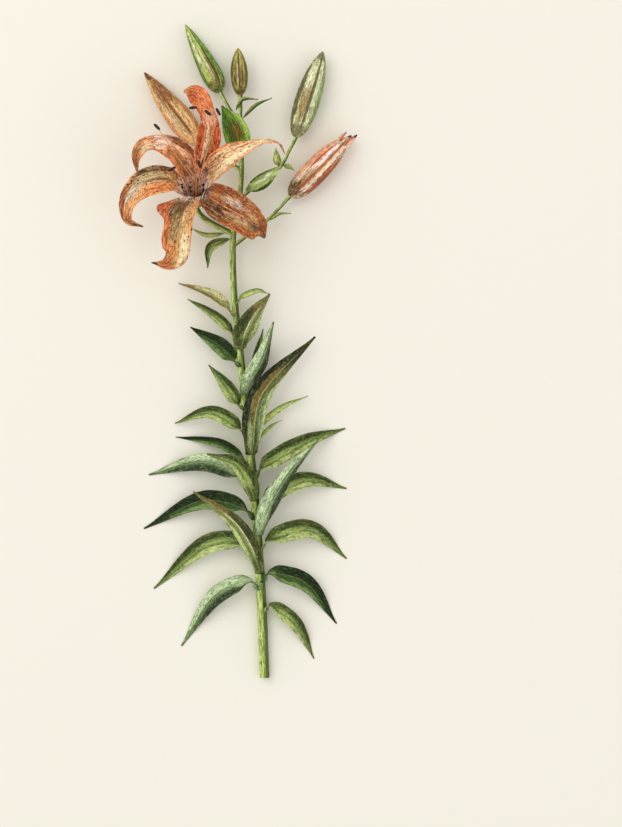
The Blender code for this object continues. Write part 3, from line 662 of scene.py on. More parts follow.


# Each tepal's inner face: its base colour, then strokes of other colours. A stroke has a colour,
# the place of its middle across and along, its half-width, its half-length and its strength.
# The palest cream and whitish strokes are painted highlights.
BLACK = (38, 26, 24)
TEPAL_LOOKS = {
    "tepal_up": ((214, 112, 66), (
        ((178, 62, 26), -0.75, 0.45, 0.35, 0.3, 0.9), ((182, 60, 26), 0.7, 0.45, 0.32, 0.3, 0.9),
        ((150, 118, 66), 0.1, 0.42, 0.3, 0.16, 0.8), ((238, 206, 160), -0.12, 0.48, 0.16, 0.22, 0.95),
        ((240, 180, 146), 0.1, 0.64, 0.8, 0.06, 0.85), ((234, 140, 92), 0.1, 0.78, 1.0, 0.1, 0.6),
        ((172, 62, 26), -0.3, 0.88, 0.6, 0.07, 0.85), ((90, 60, 44), 0.3, 0.3, 0.2, 0.08, 0.8),
        ((206, 146, 82), 0.2, 0.97, 1.0, 0.06, 0.7))),
    "tepal_upper_left": ((230, 146, 94), (
        ((172, 112, 56), -0.3, 0.44, 0.42, 0.2, 0.9), ((124, 64, 32), 0.72, 0.5, 0.3, 0.12, 0.9),
        ((150, 74, 40), 0.05, 0.34, 0.3, 0.12, 0.8), ((242, 184, 150), 0.3, 0.5, 0.13, 0.22, 0.9),
        ((248, 218, 196), 0.15, 0.62, 0.8, 0.06, 0.8), ((254, 224, 178), -0.2, 0.76, 0.8, 0.08, 0.85),
        ((164, 106, 56), 0.35, 0.85, 0.6, 0.1, 0.9), ((132, 78, 42), -0.1, 0.95, 1.0, 0.07, 0.9),
        ((70, 60, 74), 0.3, 0.27, 0.35, 0.06, 0.8), ((218, 118, 74), -0.9, 0.45, 0.25, 0.25, 0.8))),
    "tepal_left": ((242, 174, 114), (
        ((186, 172, 130), 0.35, 0.5, 0.4, 0.2, 0.9), ((60, 52, 34), 0.88, 0.42, 0.28, 0.15, 0.95),
        ((120, 78, 38), 0.1, 0.4, 0.14, 0.12, 0.85), ((210, 200, 180), 0.1, 0.66, 0.4, 0.09, 0.85),
        ((228, 118, 58), -0.6, 0.45, 0.3, 0.2, 0.8), ((140, 66, 34), 0.7, 0.74, 0.35, 0.16, 0.9),
        ((232, 168, 116), -0.55, 0.7, 0.35, 0.14, 0.75), ((150, 76, 40), 0.0, 0.88, 0.8, 0.08, 0.85),
        ((60, 44, 30), 0.0, 0.98, 1.0, 0.06, 0.95))),
    "tepal_lower": ((220, 168, 106), (
        ((96, 60, 28), 0.3, 0.36, 0.6, 0.15, 0.95), ((58, 52, 28), 0.5, 0.44, 0.24, 0.1, 0.9),
        ((132, 112, 68), 0.2, 0.54, 0.45, 0.13, 0.8), ((246, 224, 180), -0.6, 0.68, 0.35, 0.13, 0.95),
        ((188, 84, 40), 0.85, 0.62, 0.28, 0.24, 0.9), ((206, 120, 66), 0.3, 0.74, 0.3, 0.1, 0.75),
        ((176, 80, 38), 0.0, 0.88, 1.1, 0.07, 0.9), ((232, 196, 150), -0.15, 0.44, 0.07, 0.14, 0.9),
        ((208, 98, 56), 1.0, 0.36, 0.34, 0.12, 1.0), ((226, 140, 90), -0.95, 0.45, 0.18, 0.2, 0.8),
        (BLACK, 0.0, 0.99, 1.0, 0.045, 1.0))),
    "tepal_lower_right": ((184, 110, 56), (
        ((76, 44, 22), 0.4, 0.43, 0.55, 0.2, 0.95), ((140, 68, 34), -0.75, 0.5, 0.26, 0.26, 0.9),
        ((200, 182, 166), -0.35, 0.52, 0.2, 0.13, 0.8), ((200, 162, 118), 0.25, 0.62, 0.3, 0.13, 0.85),
        ((190, 150, 104), -0.2, 0.72, 0.26, 0.1, 0.8), ((56, 52, 50), 0.15, 0.8, 0.26, 0.08, 0.95),
        ((172, 76, 32), 0.8, 0.68, 0.22, 0.16, 0.9), ((128, 54, 22), -0.3, 0.9, 0.7, 0.08, 0.9),
        ((146, 62, 24), -0.02, 0.52, 0.16, 0.3, 0.9), ((70, 54, 34), 0.3, 0.98, 1.0, 0.04, 0.9))),
    "tepal_upper_right": ((255, 218, 166), (
        ((166, 106, 60), -0.35, 0.38, 0.33, 0.13, 0.85), ((184, 148, 92), 0.3, 0.36, 0.3, 0.12, 0.8),
        ((226, 122, 70), -0.9, 0.5, 0.25, 0.3, 0.85), ((255, 232, 190), 0.4, 0.56, 0.35, 0.18, 0.9),
        ((190, 96, 52), -0.3, 0.62, 0.12, 0.12, 0.8), ((206, 90, 50), 0.0, 0.9, 1.1, 0.1, 0.85),
        ((84, 70, 76), -0.5, 0.27, 0.3, 0.06, 0.85), ((228, 140, 84), 0.9, 0.5, 0.2, 0.3, 0.7))),
}


def tepal_skin(name, look):
    """The inner face of a tepal: strokes of colour drawn out lengthwise, veins, specks and spots."""
    base, strokes = look
    s = Skin(name + "_face")
    u, share, _ = s.parts(s.attribute("place"))
    edge = s.calc("ABSOLUTE", u)
    grain, broad, streaks, fibres, cloud = s.noises(
        (0.34, 0.03, 4, 0.65, 31), (0.6, 0.06, 5, 0.65, 0), (1, 0.2, 3, 0.6, 0), (0.72, 0.5, 3, 0.65, 17))
    colour = s.ground(base, streaks, 0.35, 0.72)
    colour = s.strokes(colour, strokes, u, share, broad, streaks, cloud, 1.6)
    colour = s.layers(
        colour,
        # Pale and dark fibres.
        ((250, 208, 152), (fibres, 0.52, 0.62), (share, 0.2, 0.4), 0.2),
        ((104, 54, 22), (fibres, 0.5, 0.39), (streaks, 0.4, 0.56), (share, 0.16, 0.3),
         0.36),
        # The midrib and the margins.
        ((244, 206, 164), (edge, 0.045, 0.015), (share, 0.22, 0.32), (share, 0.85, 0.65),
         0.5),
        ((216, 138, 96), (s.times_plus(streaks, 0.25, edge), 1.04, 1.12), 0.35),
        # Dark and light stipple.
        ((92, 48, 24), (cloud, 0.53, 0.61), (broad, 0.36, 0.56), 0.5),
        ((254, 222, 170), (cloud, 0.48, 0.4), (streaks, 0.44, 0.56), 0.3))
    colour = s.worked(colour, fibres, cloud, saturation=1.02)
    spotted = s.times(s.dots(grain, 0.62, 0.45, 0.42), (share, 0.92, 0.6), 0.9)
    throat = s.step(s.times_plus(streaks, 0.12, share), 0.36, 0.28)
    colour = s.layers(
        colour,
        # Spots, then the pale throat with violet streaks and white and black blotches.
        ((56, 26, 20), spotted),
        ((248, 208, 180), throat, 0.85),
        ((112, 90, 102), throat, (fibres, 0.54, 0.44), 0.55),
        ((255, 250, 242), throat, s.dots(grain, 0.34, 0.28, 0.78, 3)),
        (BLACK, throat, s.dots(grain, 0.38, 0.3, 0.64, 11)))
    height = s.times_plus(spotted, 0.5, s.veined(u, TEPAL_VEINS, 0.25, fibres, streaks))
    return s.finish(colour, fibres, 0.3, 0.38, height, 0.00018, 0.2)


def tepal_back(name):
    """The outer face of a tepal: paler, with a green keel."""
    s = Skin(name + "_back")
    u, share, _ = s.parts(s.attribute("place"))
    grain, streaks, fibres = s.noises((0.7, 0.05, 5, 0.65, 0), (1, 0.2, 3, 0.6, 0))
    colour = s.mix((streaks, 0.4, 0.6), (230, 158, 108), (206, 116, 66))
    colour = s.layers(
        colour,
        # The keel, pale fibres and dark spots.
        ((150, 142, 76), (s.calc("ABSOLUTE", u), 0.3, 0.05), (share, 1.0, 0.5)),
        ((246, 214, 170), (fibres, 0.5, 0.64), 0.5),
        ((120, 50, 34), s.dots(grain, 0.6, 0.4, 0.42, 5), (share, 0.7, 0.3), 0.7))
    height = s.plus(fibres, s.calc("SINE", s.times(u, TEPAL_VEINS)))
    return s.finish(colour, fibres, 0.3, 0.4, height, 0.0001, 0.3)


# Leaf skins: base colour, the darkest and the palest tone, the tint of the tip, and strokes like
# those of a tepal. The broad dark and pale strokes along a leaf's halves and margins are painted
# shade and painted light. Across, 1 is the margin that is turned from the light and -1 the other one.
LEAF_LOOKS = {
    "olive": ((132, 140, 78), (50, 54, 22), (190, 202, 136), (130, 100, 52), (
        ((46, 54, 22), 0.6, 0.42, 0.45, 0.36, 0.95), ((192, 208, 138), -0.75, 0.4, 0.32, 0.36, 0.95),
        ((128, 104, 54), 0.3, 0.78, 0.6, 0.18, 0.75), ((212, 214, 160), 0.12, 0.45, 0.06, 0.3, 0.9),
        ((64, 72, 30), 0.0, 0.1, 0.7, 0.08, 0.8))),
    "tan": ((184, 176, 118), (104, 94, 46), (222, 216, 160), (146, 112, 62), (
        ((106, 100, 46), -0.7, 0.5, 0.3, 0.4, 0.85), ((222, 220, 160), 0.5, 0.5, 0.4, 0.4, 0.9),
        ((142, 156, 76), 0.1, 0.14, 0.8, 0.14, 0.8), ((150, 116, 66), 0.0, 0.88, 1.0, 0.16, 0.8))),
    "mid": ((122, 142, 74), (46, 58, 22), (184, 198, 124), (124, 104, 50), (
        ((46, 58, 22), 0.62, 0.56, 0.4, 0.44, 0.95), ((188, 202, 128), -0.72, 0.4, 0.34, 0.4, 0.92),
        ((70, 84, 34), -0.1, 0.14, 0.5, 0.1, 0.7), ((156, 176, 96), 0.0, 0.3, 0.3, 0.16, 0.7))),
    "dark": ((64, 92, 42), (20, 32, 14), (132, 154, 90), (76, 68, 32), (
        ((20, 32, 14), 0.5, 0.55, 0.55, 0.45, 0.95), ((132, 156, 90), -0.75, 0.42, 0.28, 0.34, 0.85),
        ((32, 46, 20), 0.0, 0.9, 1.0, 0.16, 0.85), ((140, 168, 104), 0.0, 0.08, 0.8, 0.07, 0.65))),
    "blue": ((138, 164, 112), (34, 46, 24), (200, 216, 168), (100, 106, 62), (
        ((32, 46, 24), -0.62, 0.45, 0.45, 0.42, 0.95), ((198, 216, 168), 0.6, 0.5, 0.42, 0.45, 0.92),
        ((70, 90, 48), -0.1, 0.6, 0.3, 0.3, 0.75), ((190, 208, 158), 0.1, 0.12, 0.7, 0.1, 0.7))),
    "light": ((184, 200, 104), (92, 110, 42), (230, 236, 170), (146, 132, 60), (
        ((96, 118, 46), 0.85, 0.5, 0.25, 0.5, 0.85), ((230, 236, 170), -0.3, 0.5, 0.3, 0.4, 0.8),
        ((110, 132, 54), 0.0, 0.08, 0.9, 0.1, 0.7))),
    "heart": ((124, 164, 60), (54, 62, 20), (156, 190, 88), (96, 72, 28), (
        ((70, 80, 24), -0.2, 0.42, 0.6, 0.3, 0.9), ((168, 202, 100), 0.88, 0.42, 0.3, 0.42, 1.0),
        ((118, 78, 32), 0.15, 0.36, 0.36, 0.18, 0.85), ((60, 98, 32), -0.6, 0.74, 0.5, 0.2, 0.8))),
    "pale": ((198, 218, 132), (62, 84, 26), (236, 242, 196), (110, 120, 52), (
        ((60, 84, 24), 0.88, 0.36, 0.3, 0.36, 1.0), ((66, 90, 28), -0.9, 0.5, 0.26, 0.44, 1.0),
        ((236, 242, 200), -0.1, 0.5, 0.3, 0.3, 0.9), ((96, 120, 46), 0.0, 0.06, 0.9, 0.08, 0.8))),
    "long": ((112, 114, 58), (22, 28, 12), (192, 206, 146), (70, 56, 26), (
        ((20, 26, 12), 0.78, 0.45, 0.34, 0.46, 1.0), ((122, 94, 44), 0.15, 0.52, 0.28, 0.26, 0.85),
        ((194, 208, 148), -0.85, 0.36, 0.24, 0.3, 0.95), ((124, 152, 100), -0.42, 0.26, 0.22, 0.2, 0.85),
        ((34, 36, 18), 0.0, 0.82, 1.0, 0.14, 0.9), ((170, 188, 124), 0.3, 0.14, 0.3, 0.1, 0.85),
        ((52, 58, 24), -0.1, 0.12, 0.3, 0.1, 0.7))),
}
# The free ends of the opening bud's tepals.
PARTED_LOOK = ((240, 186, 146), (166, 70, 38), (252, 232, 206), (96, 46, 28), (
    ((188, 84, 50), 0.85, 0.5, 0.3, 0.6, 0.9), ((200, 96, 60), -0.85, 0.5, 0.3, 0.6, 0.9),
    ((250, 226, 214), 0.0, 0.3, 0.3, 0.4, 0.8), ((74, 36, 26), 0.0, 0.98, 1.4, 0.15, 0.95)))


def leaf_skin(name, look):
    """A leaf's skin: strokes of light and dark along it, with painted light and painted shade on its two
    halves, fine veins, stipple and brown flecks.
    """
    base, dark, pale, tint, strokes = look
    s = Skin(name)
    u, share, _ = s.parts(s.attribute("place"))
    _, broad, streaks, fibres, cloud = s.noises(
        (0.3, 0.03, 4, 0.65, 31), (0.6, 0.05, 5, 0.65, 0), (1, 0.16, 3, 0.6, 0), (1, 0.7, 3, 0.6, 17))
    colour = s.ground(base, streaks, 0.4, 0.72)
    colour = s.strokes(colour, strokes, u, share, broad, streaks, cloud, 1.0)
    colour = s.layers(
        colour,
        # Dark and pale fibres, and brown flecks.
        (dark, (fibres, 0.5, 0.38), (streaks, 0.4, 0.56), 0.4),
        (pale, (fibres, 0.52, 0.64), (broad, 0.62, 0.44), 0.16),
        (tint, (broad, 0.52, 0.66), (streaks, 0.42, 0.6), 0.5),
        # The midrib, dark stipple and the tip.
        (pale, (s.calc("ABSOLUTE", u), 0.06, 0.02), (share, 0.95, 0.7), 0.5),
        (dark, (cloud, 0.52, 0.62), (broad, 0.4, 0.56), 0.45),
        (tint, (s.times_plus(streaks, 0.06, share), 0.97, 1.02)))
    colour = s.worked(colour, fibres, cloud, 0.76, 1.44)
    return s.finish(colour, fibres, 0.3, 0.4, s.veined(u, LEAF_VEINS, 0.35, fibres, streaks), 0.00015, 0.16)


# Buds: base colour, seam colour, then strokes like those of a tepal, placed by how far to the
# left they lie as seen from above with the tip away (1 at the left edge, -1 at the right).
# The palest cream and white strokes are partly pale ridges and partly painted highlights.
BUD_LOOKS = {
    "bud_1": ((188, 200, 112), (62, 68, 28), (
        ((84, 128, 46), 0.88, 0.5, 0.24, 0.6, 0.95), ((92, 138, 52), -0.86, 0.5, 0.28, 0.6, 0.95),
        ((232, 232, 204), 0.42, 0.62, 0.14, 0.26, 0.95), ((122, 92, 50), -0.3, 0.3, 0.4, 0.2, 0.85),
        ((170, 206, 110), -0.35, 0.78, 0.3, 0.14, 0.85), ((104, 84, 44), 0.1, 0.1, 0.9, 0.08, 0.7),
        ((210, 200, 158), -0.05, 0.4, 0.12, 0.2, 0.8), ((70, 92, 34), 0.0, 0.03, 1.0, 0.05, 0.8))),
    "bud_2": ((184, 170, 92), (66, 54, 22), (
        ((86, 104, 48), 0.88, 0.5, 0.22, 0.6, 0.95), ((84, 98, 46), -0.88, 0.5, 0.24, 0.6, 0.95),
        ((224, 210, 170), 0.1, 0.5, 0.16, 0.3, 0.9), ((110, 76, 42), 0.45, 0.4, 0.2, 0.3, 0.85),
        ((112, 74, 40), -0.35, 0.35, 0.2, 0.3, 0.85), ((84, 64, 34), 0.0, 0.06, 1.0, 0.08, 0.8))),
    "bud_3": ((226, 228, 174), (88, 84, 40), (
        ((78, 78, 42), 0.82, 0.45, 0.24, 0.5, 0.95), ((128, 148, 92), -0.88, 0.5, 0.2, 0.6, 0.9),
        ((230, 232, 212), 0.28, 0.66, 0.12, 0.2, 0.85), ((140, 104, 52), 0.18, 0.36, 0.36, 0.2, 0.85),
        ((200, 208, 170), -0.5, 0.5, 0.16, 0.3, 0.75), ((120, 100, 56), -0.15, 0.55, 0.1, 0.3, 0.8),
        ((84, 78, 42), 0.0, 0.07, 1.0, 0.08, 0.8), ((90, 98, 52), 0.0, 0.95, 1.0, 0.07, 0.8))),
    "bud_4": ((255, 230, 204), (168, 90, 54), (
        ((228, 150, 106), 0.8, 0.6, 0.3, 0.4, 0.8), ((186, 66, 44), 0.42, 0.66, 0.1, 0.3, 0.9),
        ((250, 226, 216), 0.15, 0.66, 0.16, 0.26, 0.95), ((240, 202, 148), -0.25, 0.5, 0.2, 0.3, 0.85),
        ((156, 114, 62), 0.05, 0.26, 0.4, 0.2, 0.85), ((156, 64, 22), -0.86, 0.42, 0.26, 0.48, 0.95),
        ((88, 58, 26), 0.2, 0.08, 1.0, 0.14, 0.95), ((232, 190, 170), -0.3, 0.85, 0.3, 0.12, 0.7))),
    "bud_5": ((252, 206, 142), (124, 68, 32), (
        ((228, 158, 116), 0.92, 0.35, 0.16, 0.4, 0.95), ((128, 66, 32), -0.5, 0.74, 0.5, 0.24, 0.9),
        ((200, 178, 130), 0.15, 0.34, 0.35, 0.2, 0.85), ((122, 70, 36), 0.35, 0.68, 0.25, 0.24, 0.8),
        ((220, 190, 146), 0.5, 0.4, 0.1, 0.22, 0.8), ((196, 120, 74), -0.85, 0.35, 0.2, 0.3, 0.8),
        ((76, 42, 26), 0.0, 0.97, 1.0, 0.08, 0.95))),
}


def bud_skin(name, look):
    """A bud's skin: strokes of colour, pale ridges with painted highlights beside dark seams, mottle, and
    stipple that thickens into painted shade towards its edges.
    """
    base, seam, strokes = look
    s = Skin(name + "_skin")
    keel, share, side = s.parts(s.attribute("place"))
    _, broad, streaks, fibres, cloud = s.noises(
        (0.34, 0.04, 4, 0.65, 31), (0.7, 0.07, 5, 0.65, 0), (1, 0.2, 3, 0.6, 0), (0.72, 0.5, 3, 0.65, 17))
    colour = s.ground(base, streaks, 0.4, 0.7)
    colour = s.strokes(colour, strokes, side, share, broad, streaks, cloud, 0.9)
    # Painted shade: the dark stipple thickens towards the bud's left and right edges as seen from above,
    # where its sides turn from the light.
    rim = s.step(s.calc("ABSOLUTE", side), 0.5, 0.95)
    mottle_and_rim_shade = s.times_plus(rim, 0.6, s.step(broad, 0.36, 0.6))
    colour = s.layers(
        colour,
        # Pale and dark fibres, the seams, and stipple, with painted shade at the edges.
        ((246, 232, 180), (fibres, 0.52, 0.64), (share, 0.98, 0.8), 0.14),
        (seam, (fibres, 0.5, 0.39), (streaks, 0.4, 0.56), 0.42),
        (seam, (keel, -0.86, -0.97), (share, 0.05, 0.2), 0.85),
        ((58, 46, 24), (cloud, 0.52, 0.6), mottle_and_rim_shade, 0.6))
    colour = s.worked(colour, fibres, cloud, 0.82, 1.42, 1.04)
    return s.finish(colour, fibres, 0.3, 0.36, s.plus(fibres, streaks), 0.00018, 0.24)


def stem_skin():
    """The stem's skin: green, lighter to the left, with olive stipple, and a pale cut end."""
    s = Skin("stem_skin")
    side, share, _ = s.parts(s.attribute("place"))
    grain, streaks, fibres, cloud = s.noises(
        (0.7, 0.05, 4, 0.6, 0), (1, 0.14, 3, 0.6, 0), (0.72, 0.45, 3, 0.65, 17))
    colour = s.mix((streaks, 0.4, 0.62), (156, 180, 86), (116, 140, 54))
    colour = s.layers(
        colour,
        # Light from the left, the shaded side, and stipple.
        ((200, 214, 132), (side, 0.3, -0.4), (fibres, 0.38, 0.56), 0.85),
        ((70, 84, 38), (s.times_plus(streaks, 0.8, side), 0.35, 1.0, 0.85)),
        ((54, 58, 28), (cloud, 0.52, 0.62), (side, -0.7, 0.2), 0.75))
    colour = s.worked(colour, fibres, cloud)
    pith = s.mix((side, 0.95, 0.75), (150, 170, 96), (222, 224, 184))
    pith = s.layers(pith, ((150, 146, 88), s.dots(grain, 1.6, 1.0, 0.5), 0.7))
    colour = s.mix((share, -0.4, -0.9), colour, pith)
    return s.finish(colour, fibres, 0.25, 0.4, s.plus(fibres, streaks), 0.00015, 0.24)


def pistil_skin():
    """The pistil's skin: green at the ovary, orange along the style and dark at the stigma."""
    s = Skin("pistil_skin")
    share = s.parts(s.attribute("place"))[1]
    _, cloud = s.noises((1.5, 0.5, 4, 0.6, 0))
    colour = s.mix((cloud, 0.4, 0.6), (216, 160, 100), (178, 106, 62))
    colour = s.mix((share, 0.1, 0.35), (150, 172, 96), colour)
    colour = s.mix((share, 0.955, 0.985), colour, (112, 66, 44))
    return s.finish(colour, cloud, 0.2, 0.25, cloud, 0.00008, 0.5)


def plain_skin(name, colour, dark, scale, roughness, bump, gloss):
    """A small part's skin: two tones in fine noise."""
    s = Skin(name)
    _, cloud = s.noises((scale, scale / 2, 4, 0.6, 0))
    return s.finish(s.mix((cloud, 0.4, 0.62), colour, dark), cloud, 0.2, roughness, cloud, bump, gloss)


STEM_PLACES = [place for place, _ in STEM]
STEM_STEPS = 30  # steps of the line that the leaves are set on
STEM_LINE = smooth_path(STEM_PLACES, STEM_STEPS)
CUT_RINGS = (0.93, 0.84, 0.7, 0.55, 0.4, 0.25, 0.1)  # over the cut end, as shares of its radius
CUT_ROUGH = 0.15
CUT_EDGE = 0.3  # how far the cut's rim is set back


def stem_radius(y):
    """The main stem's radius at a place along it."""
    for (low, low_radius), (high, high_radius) in zip(STEM, STEM[1:]):
        if y <= high[1]:
            share = max((y - low[1]) / (high[1] - low[1]), 0.0)
            return low_radius + (high_radius - low_radius) * share
    return STEM[-1][1]


def stem_at(y):
    """The main stem's centre and direction at a place along it."""
    for a, b in zip(STEM_LINE, STEM_LINE[1:]):
        if y <= b.y:
            break
    return mixed(a, b, a.y, b.y, y), (b - a).normalized()


def leaning(first, second, degrees):
    """The way at an angle from the first of two ways towards the second."""
    angle = math.radians(degrees)
    return first * math.cos(angle) + second * math.sin(angle)


def flower_ways(degrees):
    """The way out from the flower's axis, for a direction on its seat."""
    right = (Vector((1, 0, 0)) - FLOWER_AXIS * FLOWER_AXIS.x).normalized()
    return leaning(right, FLOWER_AXIS.cross(right), degrees)


def add_stem():
    """The main stem and its flower stalks, swollen a little where a leaf or a stalk leaves it."""
    shape = Shape()
    steps, around = STEM_FINE
    line = smooth_path(STEM_PLACES, steps)
    heights = [leaf[0] for leaf in LEAVES]

    def main_radius(share, angle):
        """The stem's radius, with faint ribs and a swelling below each leaf."""
        y = line[round(share * steps)].y
        swell = sum(math.exp(-((y - height + 1.5) / 2.5) ** 2) for height in heights)
        ribs = 0.012 * math.cos(7 * angle + 0.02 * y) + 0.01 * rough(y * 0.1, angle)
        return stem_radius(y) * (0.985 + ribs + 0.035 * min(swell, 1))

    rows = shape.tube(line, main_radius, around)
    shape.faces.pop(-2)
    end = line[0]
    rings = [rows[0]]
    for number in rows[0]:
        shape.points[number].y += CUT_EDGE * MM
    for scale in CUT_RINGS:
        ring = []
        for number in rows[0]:
            x, y, _ = shape.grain[number]
            point = end + (shape.points[number] / MM + MIDDLE - end) * scale
            point.y = end.y + CUT_ROUGH * rough(x * scale * 2, y * scale * 2)
            ring.append(shape.add(point, (x * scale, y * scale, -1), (scale, -1, 0)))
        rings.append(ring)
    shape.grid([ring[::-1] for ring in rings], loop=True)
    shape.faces.append(tuple(reversed(rings[-1])))
    steps, around = STALK_FINE
    for name, (points, radius) in STALKS.items():
        tip = Vector(BUDS[name][0])
        end = Vector(points[-1])
        path = smooth_path(points[:-1] + [end - (tip - end).normalized() * STRAIGHT_END, end], steps)
        length = sum((b - a).length for a, b in zip(path, path[1:]))

        def stalk_radius(share, angle, radius=radius, length=length):
            """Wider where it leaves the stem and where it carries the bud."""
            foot = 0.5 * math.exp(-share * length / 3.5)
            head = 0.35 * math.exp(-(1 - share) * length / 2.5)
            return radius * (1 + foot + head + 0.02 * math.cos(5 * angle))

        shape.tube(path, stalk_radius, around)
    steps, around = FLOWER_STALK_FINE
    bend, neck, rim = (SEAT - FLOWER_AXIS * below for below in NECK)
    path = smooth_path([*FLOWER_STALK, bend, neck], steps)
    path += [neck + FLOWER_AXIS * 0.9, rim, SEAT - FLOWER_AXIS * 0.5, SEAT]
    radii = [FLOWER_STALK_RADIUS] * (len(path) - len(NECK_RADII)) + list(NECK_RADII)

    def neck_radius(share, angle):
        """Even along the stalk, then widening to the seat."""
        return radii[round(share * (len(radii) - 1))] * (1 + 0.02 * math.cos(6 * angle))

    shape.tube(path, neck_radius, around)
    shape.make("stem", "stem", stem_skin())


def add_leaves():
    """The leaves of the main stem."""
    rows, columns = LEAF_FINE
    skins = {name: leaf_skin("leaf_" + name, look) for name, look in LEAF_LOOKS.items()}
    for number, (height, side, middle, tip, width, facing, skin) in enumerate(LEAVES, 1):
        centre, up_stem = stem_at(height)
        right = up_stem.cross(UP).normalized()
        away = leaning(right, right.cross(up_stem), side)
        base = centre + away * (stem_radius(height) + GAP + BLADE_THICK / 2)
        start = up_stem * math.cos(LEAF_RISE) + away * math.sin(LEAF_RISE)
        face = up_stem * math.sin(LEAF_RISE) - away * math.cos(LEAF_RISE)
        near = base + start * LEAF_START * (Vector(tip) - base).length
        path = smooth_path([base, near, middle, tip], rows)
        path[0] = path[0] - start * LEAF_ROOT[0] - away * LEAF_ROOT[1]
        steps = frames(path, face)
        # The margin turned from the light takes the leaf's painted shade and gets the place 1 across.
        turned_left = (tip[0] < centre.x) == (facing > 0)

        def roll(share, steps=steps, facing=facing):
            """Turns the upper face towards the viewer over the first part of the leaf."""
            return to_viewer(steps[round(share * rows)]) * facing * eased(4 * share)

        blade(
            f"leaf_{number:02d}", "leaf", path, face, columns,
            half_width=lambda share, width=width: profile(LEAF_SHAPE, share) * width / 2,
            curl=lambda share: 0.5 - 0.3 * share, roll=roll, skins=[skins[skin]], fold=LEAF_FOLD,
            wave=LEAF_WAVE, groove=(0.35, 0.07), ruffle=0.5, seed=number, painted_shade_side=1 if turned_left else -1)


BRACT_SKINS = {
    "bract_1": "heart", "bract_4": "pale", "bract_5": "light", "bract_6": "light", "bract_7": "light",
    "bract_8": "light"}  # the others have the skin "mid"


def add_bracts():
    """The small leaves among the flower stalks."""
    rows, columns = BRACT_FINE
    skins = {name: leaf_skin("bract_" + name, LEAF_LOOKS[name]) for name in ("heart", "pale", "light", "mid")}
    for number, (name, (base, middle, tip, width, face)) in enumerate(BRACTS.items()):
        path = smooth_path([base, middle, tip], rows)
        shape = BROAD_BRACT.get(name, BRACT_SHAPE)
        blade(
            name, "bract", path, face, columns,
            half_width=lambda share, width=width, shape=shape: max(profile(shape, share) * width / 2, 0.35),
            curl=lambda share: 0.5, roll=lambda share: 0.0, skins=[skins[BRACT_SKINS.get(name, "mid")]],
            fold=LEAF_FOLD, groove=(0.02 * width, 0.09), ruffle=0.02 * width, seed=40 + number)


def from_axis(point):
    """A point's distance from the flower's axis."""
    offset = point - SEAT
    return (offset - FLOWER_AXIS * offset.dot(FLOWER_AXIS)).length


def add_tepals():
    """The open flower's six tepals."""
    rows, columns = TEPAL_FINE
    for number, (name, (ring, degrees, midrib, width, facing, twist, shape)) in enumerate(TEPALS.items()):
        away = flower_ways(degrees)
        funnel = [SEAT + FLOWER_AXIS * height + away * out for height, out in zip(FUNNEL, ring)]
        path = smooth_path([*funnel, *midrib], rows)
        steps = frames(path, -away)
        foot = TEPAL_FOOT[ring]

        def half_width(share, width=width, foot=foot, shape=shape):
            """Half the width, eased from the foot to the tepal's own shape."""
            own = eased(6 * share)
            return (profile(shape, share) * width * own + foot * (1 - own)) / 2

        def curl(share, path=path, half_width=half_width):
            """Bends the tepal across as round as the funnel is where it passes."""
            return max(half_width(share) / from_axis(path[round(share * rows)]), 0.15)

        def roll(share, steps=steps, facing=facing, twist=twist):
            """Turns the tepal about its midrib past the throat."""
            return to_viewer(steps[round(share * rows)]) * facing * eased(3 * share - 0.7) + math.radians(
                profile(twist, share))

        skins = [tepal_skin(name, TEPAL_LOOKS[name]), tepal_back(name)]
        blade(
            name, "tepal", path, -away, columns, half_width, curl, roll, skins, wave=TEPAL_WAVE,
            flap=FLAPS.get(name, NO_FLAP), groove=(0.7, 0.08), ruffle=1.1, seed=60 + number)


def add_anther(number, place, lie, skin):
    """A two-lobed anther about its place."""
    half_length, half_width, half_height = ANTHER
    depth, narrow = ANTHER_FURROW
    along = Vector(lie).normalized()
    across, above = ways_around(along)

    def point_at(turn, angle):
        """A point of the anther, its grain and its place."""
        lengthwise = -math.cos(turn)
        rise = math.sin(angle)
        furrows = math.exp(-((rise - 1) / narrow) ** 2) + math.exp(-((rise + 1) / narrow) ** 2)
        size = math.sqrt(1 - lengthwise ** 2) ** 0.7 * (1 - depth * furrows)
        x = math.cos(angle) * size * half_width
        y = rise * size * half_height - ANTHER_BOW * lengthwise ** 2
        z = lengthwise * half_length
        return place + across * x + above * y + along * z, (x, y, z + number * 9), (x, z, y)

    shape = Shape()
    shape.body(ANTHER_FINE, point_at)
    shape.make(f"anther_{number}", "anther", skin)


def add_stamens():
    """Six tapered filaments, each with its anther lying across its end."""
    steps, around = FILAMENT_FINE
    pale = plain_skin("filament_skin", (228, 160, 116), (200, 124, 82), 1.5, 0.4, 0.00004, 0.4)
    dark = plain_skin("anther_skin", (44, 30, 34), (84, 50, 38), 5.0, 0.7, 0.0002, 0.2)
    for number, (degrees, place, lie) in enumerate(STAMENS, 1):
        away = flower_ways(degrees)
        foot = SEAT + FLOWER_AXIS * GAP + away * STAMEN_RING
        anther = Vector(place)
        end = anther - UP * (ANTHER[2] + GAP)
        low = SEAT + FLOWER_AXIS * BUNDLE_TOP + away * (STAMEN_RING + 0.2)
        leave = THROAT + FLOWER_AXIS * PARTING[0] + away * PARTING[1] + (end - THROAT) * 0.06
        middle = leave.lerp(end, 0.55) + UP * FILAMENT_BOW
        path = smooth_path([foot, low, leave, middle, end - UP], steps) + [end + UP * 0.5]
        shape = Shape()
        shape.tube(path, lambda share, angle: FILAMENT_RADIUS * (1.25 - 0.65 * share), around, number * 50)
        shape.make(f"filament_{number}", "filament", pale)
        add_anther(number, anther, lie, dark)


